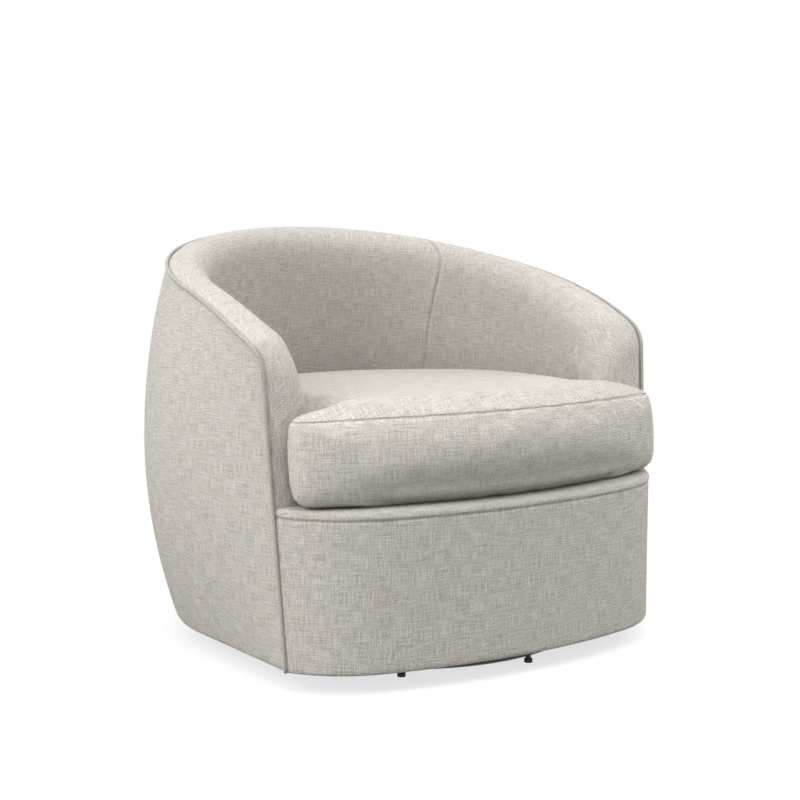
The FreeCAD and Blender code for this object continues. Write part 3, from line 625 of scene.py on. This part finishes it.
def inside_covers(material):
    points, arm, back, cloth = inside_wall()
    arm_points, arm_faces, arm_cloth = used_only(points, arm, cloth)
    right = build_mesh("right_arm_padding", arm_points, arm_faces, arm_cloth)
    left = build_mesh("left_arm_padding", *mirrored(arm_points, arm_faces, arm_cloth))
    half = used_only(points, back, cloth)
    other = mirrored(*half)
    shift = len(half[0])
    whole = build_mesh(
        "inside_back_padding",
        np.vstack([half[0], other[0]]),
        half[1] + [tuple(i + shift for i in f) for f in other[1]],
        np.vstack([half[2], other[2]]),
    )
    for obj in (right, left, whole):
        weld(obj)
    dress(right, material, "seat_shell", "upholstery", "right_arm_cover", "right_arm_foam")
    dress(left, material, "seat_shell", "upholstery", "left_arm_cover", "left_arm_foam")
    dress(
        whole, material, "seat_shell", "upholstery", "inside_back_cover", "inside_back_foam", "inside_webbing"
    )
    return right, left, whole


# Piping

def tube(name, line, radius, sides=12, cloth_scale=1.0):
    """A round tube along a line of points, closed with flat end caps."""
    line = np.asarray(line, float)
    ahead = np.gradient(line, axis=0)
    ahead /= np.linalg.norm(ahead, axis=1)[:, None]
    side = np.cross(ahead[0], (0.0, 0.0, 1.0))
    if np.linalg.norm(side) < 0.1:
        side = np.cross(ahead[0], (0.0, 1.0, 0.0))
    rings = []
    cloth = []
    length = np.r_[0, np.cumsum(np.linalg.norm(np.diff(line, axis=0), axis=1))]
    for i, p in enumerate(line):
        side = side - ahead[i] * np.dot(side, ahead[i])
        side /= np.linalg.norm(side)
        up = np.cross(ahead[i], side)
        turn = np.linspace(0, 2 * math.pi, sides, endpoint=False)
        rings.append(p + radius * (np.cos(turn)[:, None] * side + np.sin(turn)[:, None] * up))
        around = turn * radius
        cloth.append(np.stack([length[i] + around * 0.8, around * cloth_scale - length[i] * 0.35], 1))
    faces = grid_faces(len(line), sides, closed=True)
    faces.append(tuple(range(sides))[::-1])
    faces.append(tuple((len(line) - 1) * sides + i for i in range(sides)))
    return build_mesh(name, np.array(rings), faces, np.array(cloth), flip=True)


def piping_line():
    """Centre line of the piping, right foot to left foot."""
    straight = float(rim_on_path(PATH_END)) - RIM_CORNER
    places = [(PATH_END, z, 1.0, 0.0) for z in spaced([(SHELL_BOTTOM + 0.001, 0.01), (straight, 0.010)])]
    for a in np.linspace(0, math.pi / 2, 9)[1:]:
        path = PATH_END - RIM_CORNER * (1 - math.cos(a))
        places.append((path, float(piping_height(path)), math.cos(a), math.sin(a)))
    for path in spaced([(PATH_END - RIM_CORNER, 0.01), (0.0, 0.010)])[1:]:
        places.append((path, float(rim_on_path(path)), 0.0, 1.0))
    line = []
    for path, z, forward, up in places:
        p = wall_point(path, z, -PIPING_PROUD)
        line.append(p + np.array([0.0, -PIPING_PROUD * forward, PIPING_PROUD * up]))
    line = np.array(line)
    return np.vstack([line, (line * np.array([-1, 1, 1]))[::-1][1:]])


def piping(material):
    obj = tube("rim_piping_cord", piping_line(), PIPING_RADIUS)
    return dress(obj, material, "seat_shell", "piping", "rim_piping")


# Front panel

def bow_plan(z, inset, count=150):
    """Plan of the front panel at height z, right end to left end."""
    half = float(arm_half_width(z)) - inset
    side_y = float(front_edge(z))
    front_y = BOW_FRONT + inset
    return bow_points(half, side_y, front_y, BOW_SPLIT, BOW_SAG, count)


def bow_points(half, side_y, front_y, split, sag, count):
    radius = (split ** 2 + sag ** 2) / (2 * sag)
    tangent = math.asin(split / radius)
    chord = np.array([half - split, side_y - (front_y + sag)])
    slope = math.atan2(chord[1], chord[0])
    bend = slope - tangent
    shoulder = np.linalg.norm(chord) / (2 * math.sin(bend))
    arc_length = 2 * shoulder * bend
    middle_length = radius * tangent
    total = arc_length + middle_length
    s = np.linspace(total, -total, count)
    a = np.abs(s)
    inner = np.minimum(a, middle_length) / radius
    x = radius * np.sin(inner)
    y = front_y + radius * (1 - np.cos(inner))
    outer = np.maximum(a - middle_length, 0) / shoulder
    cx = split - shoulder * math.sin(tangent)
    cy = front_y + sag + shoulder * math.cos(tangent)
    x = np.where(a > middle_length, cx + shoulder * np.sin(tangent + outer), x)
    y = np.where(a > middle_length, cy - shoulder * np.cos(tangent + outer), y)
    return np.stack([np.where(s < 0, -x, x), y], 1), s


def pleat_dip(s, z):
    """Two small slanted pleats at each end of the panel, where its cloth is turned under the cushion."""
    from_end = np.abs(s).max() - np.abs(s)
    height = z - STITCH_HEIGHT
    dip = 0.0
    for start, lean in ((0.010, 1.5), (0.003, 0.7)):
        away = from_end - start - lean * height
        dip = dip + 0.0022 * np.exp(-(away / 0.0030) ** 2) * float(smooth((height + 0.002) / 0.006))
    return dip


def front_panel(material):
    rows = []
    cloth = []
    run = 0.0
    places = [(inset, SHELL_BOTTOM + up) for inset, up in HEM]
    levels = [(SHELL_BOTTOM + HEM_TOP, 1), (STITCH_HEIGHT - 0.008, 0.010), (STITCH_HEIGHT + 0.006, 0.0012)]
    for z in spaced(levels):
        dip = 0.0026 * math.exp(-((z - STITCH_HEIGHT) / 0.0022) ** 2)
        puff = -0.0012 * math.exp(-((z - STITCH_HEIGHT - 0.006) / 0.004) ** 2)
        places.append((dip + puff, z))
    start = places[-1][1]
    radius = DECK_TOP - 0.0006 - start
    for a in np.linspace(0, math.pi / 2, 9)[1:]:
        places.append((radius * (1 - math.cos(a)) - 0.0010 * math.cos(a), start + radius * math.sin(a)))
    places.append((0.05, DECK_TOP - 0.0006))
    last = None
    for inset, z in places:
        plan, s = bow_plan(z, inset)
        if last is not None:
            run += math.hypot(inset - last[0], z - last[1])
        last = (inset, z)
        wave = ripple(s, z, 31, 0.085) * 0.0007 - pleat_dip(s, z)
        normal = np.stack([np.sin(s / 0.55), -np.cos(s / 0.55)], 1)
        xy = plan + normal * wave[:, None]
        rows.append(np.column_stack([xy, np.full(len(xy), z)]))
        cloth.append(np.stack([s, np.full_like(s, run)], 1))
    faces = grid_faces(len(rows), len(rows[0]))
    obj = build_mesh("front_panel_cloth", np.array(rows), faces, np.array(cloth))
    replaced = ("front_panel_cover", "front_panel_wadding", "front_panel_backing")
    dress(obj, material, "seat_shell", "upholstery", *replaced)
    return obj


def deck_cloth(material):
    """The seat platform's flat cloth, with its foam under it, inside the walls."""
    z = DECK_TOP - 0.0008
    path = spaced([(PATH_END, 1), (-PATH_END, 0.015)])
    rim = wall_point(path, z, full_thickness(path) + 0.0006)
    plan, _ = bow_plan(z, 0.0165, 80)
    half = rim[0][0]
    front = [(x, y, z) for x, y in plan if abs(x) < half - 0.002]
    outline = [tuple(p) for p in rim] + [tuple(p) for p in reversed(front)]
    top = len(outline)
    low = [(x, y, DECK_TOP - 0.0195) for x, y, _ in outline]
    faces = [tuple(range(top)), tuple(reversed(range(top, 2 * top)))]
    for i in range(top):
        j = (i + 1) % top
        faces.append((i, top + i, top + j, j))
    points = np.array(outline + low)
    obj = build_mesh("seat_platform_pad", points, faces, points[:, :2])
    return dress(obj, material, "seat_shell", "deck_cloth", "deck_cover", "deck_pad")


# Cushion

def cushion_rear():
    return float(barrel_radius(CUSHION_LOW + CUSHION_HEIGHT + CUSHION_LIFT)) - BACK_THICKNESS - CUSHION_GAP


def cushion_share(y):
    """How much of its full height the cushion has at depth y, as its top falls to the back."""
    return 1 - CUSHION_FALL_BACK / CUSHION_HEIGHT * (y - CUSHION_FRONT) / (cushion_rear() - CUSHION_FRONT)


def cushion_height_at(level, y):
    return CUSHION_LOW + (level - CUSHION_LOW) * cushion_share(y)


def cushion_plan(level, inset, spread=1.0):
    """T plan: a round back between the arms and two ears with rounded corners in front of them."""
    shallow = 1 - (1 - spread) * 0.75
    narrow = 1 - (1 - spread) * 0.6
    base = float(front_edge(cushion_height_at(level, float(front_edge(level))))) - CUSHION_GAP
    neck_height = cushion_height_at(level, base)
    rear = (cushion_rear() - inset) * shallow
    neck = (float(arm_half_width(neck_height)) - ARM_THICKNESS - CUSHION_GAP - inset) * narrow
    ear = (EAR_HALF_WIDTH - inset) * spread
    back_y = base - inset
    front = back_y + (CUSHION_FRONT + inset - back_y) * shallow
    back_corner = (EAR_BACK_CORNER - inset) * spread
    front_corner = (EAR_FRONT_CORNER - inset) * spread
    side_high = back_y - back_corner
    side_low = side_high - EAR_SIDE
    corner_x = ear - front_corner
    depth = side_low - front
    bow = (corner_x ** 2 + depth ** 2 - front_corner ** 2) / (2 * (depth - front_corner))
    join = math.atan2(corner_x, front + bow - side_low)
    out = [(rear * math.sin(a), rear * math.cos(a)) for a in np.linspace(0, math.pi / 2, 40)]
    out += [(rear + (neck - rear) * t ** 2, back_y * t) for t in np.linspace(0, 1, 18)[1:]]
    out += [(neck + (ear - back_corner - neck) * t, back_y) for t in np.linspace(0, 1, 6)[1:]]
    for a in np.linspace(0, math.pi / 2, 9)[1:]:
        out.append((ear - back_corner + back_corner * math.sin(a), side_high + back_corner * math.cos(a)))
    for a in np.linspace(0, math.pi / 2 - join, 9):
        out.append((corner_x + front_corner * math.cos(a), side_low - front_corner * math.sin(a)))
    for a in np.linspace(join, 0, 44)[1:]:
        out.append((bow * math.sin(a), front + bow * (1 - math.cos(a))))
    left = [(-x, y) for x, y in reversed(out[1:-1])]
    return np.array(out + left)


def cushion_ring(level, inset, spread=1.0):
    """One level of the cushion, its ears a little lower than its middle."""
    plan = cushion_plan(level, inset, spread)
    z = cushion_height_at(level, plan[:, 1])
    droop = EAR_DROOP * smooth((np.abs(plan[:, 0]) - 0.22) / 0.16) * smooth((-0.20 - plan[:, 1]) / 0.10)
    z = z - droop * (level - CUSHION_LOW) / CUSHION_HEIGHT
    return np.column_stack([plan, z])


def cushion_body(shrink):
    """Closed form of the cushion, set in by shrink, before its filling swells it."""
    bulge = [(0.0, 21.0), (0.03, 12.5), (0.10, 5.0), (0.25, 1.2), (0.5, 0.0),
             (0.75, 1.0), (0.90, 3.5), (0.97, 6.0),
             (1.0, 8.0)]
    dome = [(0.25, 0.98), (0.5, 0.94), (0.72, 0.87), (0.88, 0.76), (1.0, 0.55)]
    rings = []
    for rise, inset in bulge:
        level = CUSHION_LOW + shrink * 0.4 + rise * (CUSHION_HEIGHT - shrink * 0.4)
        rings.append(cushion_ring(level, inset / 1000 + shrink))
    for rise, spread in dome:
        level = CUSHION_LOW + CUSHION_HEIGHT + rise * (CUSHION_CROWN - shrink)
        rings.append(cushion_ring(level, 0.008 + shrink, spread))
    count = len(rings[0])
    faces = grid_faces(len(rings), count, closed=True)
    faces.append(tuple(range(count))[::-1])
    faces.append(tuple((len(rings) - 1) * count + i for i in range(count)))
    return build_mesh("seat_cushion", np.array(rings), faces, flip=True)


def remesh(obj, size):
    bpy.context.view_layer.objects.active = obj
    modifier = obj.modifiers.new("remesh", "REMESH")
    modifier.mode = "VOXEL"
    modifier.voxel_size = size
    modifier.use_smooth_shade = True
    apply_all(obj)


def apply_all(obj):
    graph = bpy.context.evaluated_depsgraph_get()
    made = bpy.data.meshes.new_from_object(obj.evaluated_get(graph))
    old = obj.data
    obj.modifiers.clear()
    obj.data = made
    bpy.data.meshes.remove(old)
    obj.data.shade_smooth()


def coordinates(mesh):
    co = np.zeros(len(mesh.vertices) * 3)
    mesh.vertices.foreach_get("co", co)
    return co.reshape(-1, 3)


def set_coordinates(mesh, co):
    mesh.vertices.foreach_set("co", co.astype(np.float32).ravel())
    mesh.update()


def swell(obj, pressure, frames, cap):
    """Fills a closed mesh with cloth pressure for a few frames, moving no point further than cap."""
    start = coordinates(obj.data)
    modifier = obj.modifiers.new("cloth", "CLOTH")
    settings = modifier.settings
    settings.use_pressure = True
    settings.uniform_pressure_force = pressure
    settings.tension_stiffness = 25
    settings.compression_stiffness = 25
    settings.bending_stiffness = 3
    settings.effector_weights.gravity = 0
    scene = bpy.context.scene
    for frame_number in range(1, frames + 1):
        scene.frame_set(frame_number)
    graph = bpy.context.evaluated_depsgraph_get()
    moved = coordinates(obj.evaluated_get(graph).to_mesh())
    obj.evaluated_get(graph).to_mesh_clear()
    obj.modifiers.clear()
    scene.frame_set(1)
    step = moved - start
    length = np.linalg.norm(step, axis=1)
    step *= np.minimum(1.0, cap / np.maximum(length, 1e-9))[:, None]
    set_coordinates(obj.data, start + step)


def keep_in_seat(co):
    """Holds the cushion off the walls, the arms' fronts and the seat platform."""
    x, y, z = co[:, 0].copy(), co[:, 1].copy(), co[:, 2].copy()
    z = np.maximum(z, CUSHION_LOW)
    behind = y > front_edge(z) - CUSHION_GAP
    limit_r = barrel_radius(z + CUSHION_LIFT * (z > BELLY_HEIGHT)) - BACK_THICKNESS - CUSHION_GAP
    limit_r = np.minimum(limit_r, barrel_radius(z) - BACK_THICKNESS - CUSHION_GAP)
    r = np.hypot(x, y)
    shrink = np.where((y > 0) & (r > limit_r), limit_r / np.maximum(r, 1e-9), 1.0)
    x, y = x * shrink, y * shrink
    t = np.clip(y / front_edge(z), 0, 1)
    neck = limit_r + (arm_half_width(z) - ARM_THICKNESS - CUSHION_GAP - limit_r) * t ** 2
    deep = behind & (y <= 0) & (np.abs(x) > neck)
    ear = deep & (np.abs(x) > neck + 0.012)
    side = deep & ~ear
    x = np.where(side, np.sign(x) * neck, x)
    y = np.where(ear, front_edge(z) - CUSHION_GAP, y)
    return np.stack([x, y, z], 1)


def cushion_level(co):
    """Height of each point as it would be on a cushion with a level top."""
    droop = EAR_DROOP * smooth((np.abs(co[:, 0]) - 0.22) / 0.16) * smooth((-0.20 - co[:, 1]) / 0.10)
    share = cushion_share(co[:, 1]) - droop / CUSHION_HEIGHT
    return CUSHION_LOW + (co[:, 2] - CUSHION_LOW) / share


def cushion_cloth(co, normals):
    """Each point's place on the flat fabric: the boxing runs round the plan, the panels lie flat."""
    angle = np.arctan2(co[:, 0], -(co[:, 1] + 0.05))
    around = angle * 0.42
    boxing = np.stack([around, co[:, 2]], 1)
    panel = co[:, :2]
    top = cushion_level(co) > CUSHION_LOW + CUSHION_HEIGHT
    bottom = normals[:, 2] < -0.8
    return np.where((top | bottom)[:, None], panel, boxing)


def cushion(material):
    shrink = 0.006
    obj = cushion_body(shrink)
    remesh(obj, 0.005)
    swell(obj, 4.0, 20, 0.011)
    bpy.context.view_layer.objects.active = obj
    modifier = obj.modifiers.new("smooth", "SMOOTH")
    modifier.factor = 0.5
    modifier.iterations = 6
    subdivide = obj.modifiers.new("fine", "SUBSURF")
    subdivide.levels = 1
    subdivide.render_levels = 1
    apply_all(obj)
    mesh = obj.data
    co = keep_in_seat(coordinates(mesh))
    seam = CUSHION_LOW + CUSHION_HEIGHT - 0.002
    low_seam = CUSHION_LOW + 0.010
    normals = np.zeros(len(mesh.vertices) * 3)
    mesh.vertices.foreach_get("normal", normals)
    normals = normals.reshape(-1, 3)
    side = 1 - smooth((np.abs(normals[:, 2]) - 0.75) / 0.2)
    level = cushion_level(co)
    for height, depth in ((seam, 0.0015), (low_seam, 0.0012)):
        co = co - normals * (depth * np.exp(-((level - height) / 0.0024) ** 2) * side)[:, None]
    wave = ripple(co[:, 0] + co[:, 2], co[:, 1] - co[:, 2] * 0.7, 47, 0.10) * 0.0016
    co = co + normals * wave[:, None]
    co = keep_in_seat(co)
    set_coordinates(mesh, co)
    mesh.shade_smooth()
    store_cloth(mesh, cushion_cloth(co, normals))
    dress(obj, material, "cushion", "upholstery", "cushion_top_panel", "cushion_boxing", "cushion_bottom_panel",
          "cushion_core")
    return obj


# Dust cover and the pieces that stay as the frame has them

def dust_cover(material):
    """Black cloth stretched under the shell, with a hole for the swivel."""
    low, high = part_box("dust_cover")
    z = (low.z + high.z) / 2
    axis = Vector(frame["joints"][0]["pos_m"])
    hole = 0.140
    path = spaced([(PATH_END - 0.0455, 1), (-(PATH_END - 0.0455), 0.02)])
    rim = [tuple(p) for p in wall_point(path, z, HEM_WIDTH + 0.0006)]
    plan, _ = bow_plan(z, HEM_WIDTH + 0.0006, 60)
    outline = np.array(rim + [(x, y, z) for x, y in reversed(plan)])
    direction = outline[:, :2] - np.array([axis.x, axis.y])
    direction /= np.linalg.norm(direction, axis=1)[:, None]
    inner = np.column_stack([np.array([axis.x, axis.y]) + direction * hole, np.full(len(outline), z)])
    rings = []
    for t in np.linspace(0, 1, 12):
        ring = outline * (1 - t) + inner * t
        ring[:, 2] -= 0.0004 * math.sin(t * math.pi)
        rings.append(ring)
    rings = np.array(rings)
    faces = grid_faces(len(rings), len(outline), closed=True)
    obj = build_mesh("dust_cover_cloth", rings, faces, rings.reshape(-1, 3)[:, :2], flip=True)
    return dress(obj, material, "seat_shell", "dust_cloth", "dust_cover")


def give(names, material):
    for name in names:
        obj = frame["nodes"][name]
        obj.data.materials.clear()
        obj.data.materials.append(material)


def dress_frame():
    black = plain_material("black_powder_coat", (0.012, 0.012, 0.013), (0.006, 0.006, 0.007), 160.0, 0.42)
    nylon = plain_material("black_nylon_matt", (0.016, 0.016, 0.017), (0.009, 0.009, 0.009), 220.0, 0.6)
    zinc = plain_material("zinc_plate", (0.56, 0.56, 0.55), (0.42, 0.42, 0.43), 90.0, 0.38, 1.0)
    steel = plain_material("spring_steel_wire", (0.22, 0.22, 0.23), (0.12, 0.12, 0.13), 120.0, 0.4, 1.0)
    polished = plain_material("ball_steel_polished", (0.72, 0.72, 0.73), (0.62, 0.62, 0.64), 60.0, 0.15, 1.0)
    wood = plain_material(
        "birch_plywood", (0.66, 0.50, 0.33), (0.50, 0.36, 0.22), 9.0, 0.7, 0.0, 0.0006, (1, 1, 12)
    )
    give(["base_ring", "base_cross", "lower_swivel_plate", "upper_swivel_plate"], black)
    give(["glides", "ball_cage"], nylon)
    give(["glide_screws", "plate_screws", "lower_race", "upper_race", "centre_pin", "pin_washer", "pin_nut",
          "mounting_bolts", "t_nuts", "spring_clips"], zinc)
    give(["sinuous_springs", "tie_wires"], steel)
    give(["bearing_balls"], polished)
    give(["mounting_boards", "bottom_ring", "seat_ring", "side_ribs", "front_ribs", "top_rail", "back_ribs",
          "left_arm_post", "right_arm_post"], wood)


def zipper_tape(material):
    give(["cushion_zipper"], material)


# Stage, light and camera

def stage():
    """Pale floor: lit and shadowed near the chair, and white to the camera further off."""
    corners = [(-FLOOR_REACH, -FLOOR_REACH, 0), (FLOOR_REACH, -FLOOR_REACH, 0),
               (FLOOR_REACH, FLOOR_REACH, 0), (-FLOOR_REACH, FLOOR_REACH, 0)]
    floor = build_mesh("floor", corners, [(0, 1, 2, 3)])
    t = Tree("pale_floor")
    where = t.nodes.new("ShaderNodeTexCoord")
    soft = t.noise(where.outputs["Object"], 1.5, 2.0)
    socket(t.shader, "Roughness", 0.9)
    far = t.nodes.new("ShaderNodeVectorMath")
    far.operation = "LENGTH"
    t.link(where.outputs["Object"], far.inputs[0])
    beyond = t.value("SUBTRACT", far.outputs["Value"], FLOOR_NEAR)
    spread = t.value("DIVIDE", beyond, FLOOR_FAR - FLOOR_NEAR, clamp=True)
    white_share = t.value("MULTIPLY_ADD", spread, 1.0 - FLOOR_WHITE, FLOOR_WHITE)
    rays = t.nodes.new("ShaderNodeLightPath")
    seen = t.value("MAXIMUM", rays.outputs["Is Camera Ray"], rays.outputs["Is Glossy Ray"])
    seen = t.value("MAXIMUM", seen, rays.outputs["Is Transmission Ray"])
    light = t.ramp(soft, [(0.0, (0.90, 0.90, 0.90)), (1.0, (0.93, 0.93, 0.93))])
    dim = t.ramp(soft, [(0.0, (FLOOR_BOUNCE,) * 3), (1.0, (FLOOR_BOUNCE + 0.02,) * 3)])
    t.link(t.mix(seen, dim, light), t.shader.inputs["Base Color"])
    white = t.nodes.new("ShaderNodeEmission")
    mix = t.nodes.new("ShaderNodeMixShader")
    t.link(t.value("MULTIPLY", white_share, seen), mix.inputs[0])
    t.link(t.shader.outputs[0], mix.inputs[1])
    t.link(white.outputs[0], mix.inputs[2])
    t.link(mix.outputs[0], t.output.inputs[0])
    floor.data.materials.append(t.material)


def world():
    made = bpy.data.worlds.new("studio")
    bpy.context.scene.world = made
    made.use_nodes = True
    nodes, links = made.node_tree.nodes, made.node_tree.links
    nodes.clear()
    out = nodes.new("ShaderNodeOutputWorld")
    soft = nodes.new("ShaderNodeBackground")
    soft.inputs[0].default_value = (0.96, 0.98, 1.0, 1.0)
    soft.inputs[1].default_value = WORLD_LIGHT
    white = nodes.new("ShaderNodeBackground")
    white.inputs[0].default_value = (1.0, 1.0, 1.0, 1.0)
    white.inputs[1].default_value = 1.0
    rays = nodes.new("ShaderNodeLightPath")
    seen = nodes.new("ShaderNodeMath")
    seen.operation = "MAXIMUM"
    links.new(rays.outputs["Is Camera Ray"], seen.inputs[0])
    links.new(rays.outputs["Is Glossy Ray"], seen.inputs[1])
    mix = nodes.new("ShaderNodeMixShader")
    links.new(seen.outputs[0], mix.inputs[0])
    links.new(soft.outputs[0], mix.inputs[1])
    links.new(white.outputs[0], mix.inputs[2])
    links.new(mix.outputs[0], out.inputs[0])


def area_light(name, place, target, size, power):
    data = bpy.data.lights.new(name, "AREA")
    data.shape = "RECTANGLE"
    data.size, data.size_y = size
    data.energy = power
    obj = bpy.data.objects.new(name, data)
    obj.location = place
    obj.rotation_mode = "QUATERNION"
    obj.rotation_quaternion = (Vector(target) - Vector(place)).to_track_quat("-Z", "Y")
    bpy.context.scene.collection.objects.link(obj)
    obj.visible_camera = False
    return obj


def lights():
    centre = (0.0, 0.0, 0.4)
    area_light("overhead", (-0.5, -0.7, 2.9), centre, (3.0, 3.0), 66.0)
    area_light("left_side", (-3.2, -0.2, 1.9), centre, (2.2, 2.2), 84.0)
    area_light("right_side", (2.7, -1.3, 2.3), centre, (2.2, 2.2), 60.0)


def camera():
    data = bpy.data.cameras.new("photo_camera")
    data.lens = CAMERA_LENS
    data.sensor_width = 36.0
    data.clip_end = 60.0
    obj = bpy.data.objects.new("photo_camera", data)
    obj.location = CAMERA_PLACE
    obj.rotation_mode = "QUATERNION"
    obj.rotation_quaternion = Vector(CAMERA_FORWARD).to_track_quat("-Z", "Y")
    bpy.context.scene.collection.objects.link(obj)
    bpy.context.scene.camera = obj


def main():
    bpy.context.scene.view_settings.view_transform = "Standard"
    camera()
    world()
    lights()
    stage()
    fabric = woven_fabric("oatmeal_weave", (0.86, 0.825, 0.765), (0.40, 0.365, 0.315), (0.66, 0.565, 0.465))
    edging = woven_fabric("piping_weave", (0.68, 0.64, 0.575), (0.42, 0.38, 0.325), (0.58, 0.49, 0.39), 0.0016)
    lining = woven_fabric("lining_weave", (0.60, 0.57, 0.51), (0.48, 0.45, 0.40), (0.5, 0.44, 0.36), 0.0012)
    dust = woven_fabric("dust_weave", (0.030, 0.030, 0.031), (0.014, 0.014, 0.015), (0.02, 0.02, 0.02), 0.0012)
    dress_frame()
    zipper_tape(lining)
    outer_shell(fabric)
    inside_covers(fabric)
    piping(edging)
    front_panel(fabric)
    deck_cloth(lining)
    dust_cover(dust)
    cushion(fabric)


main()
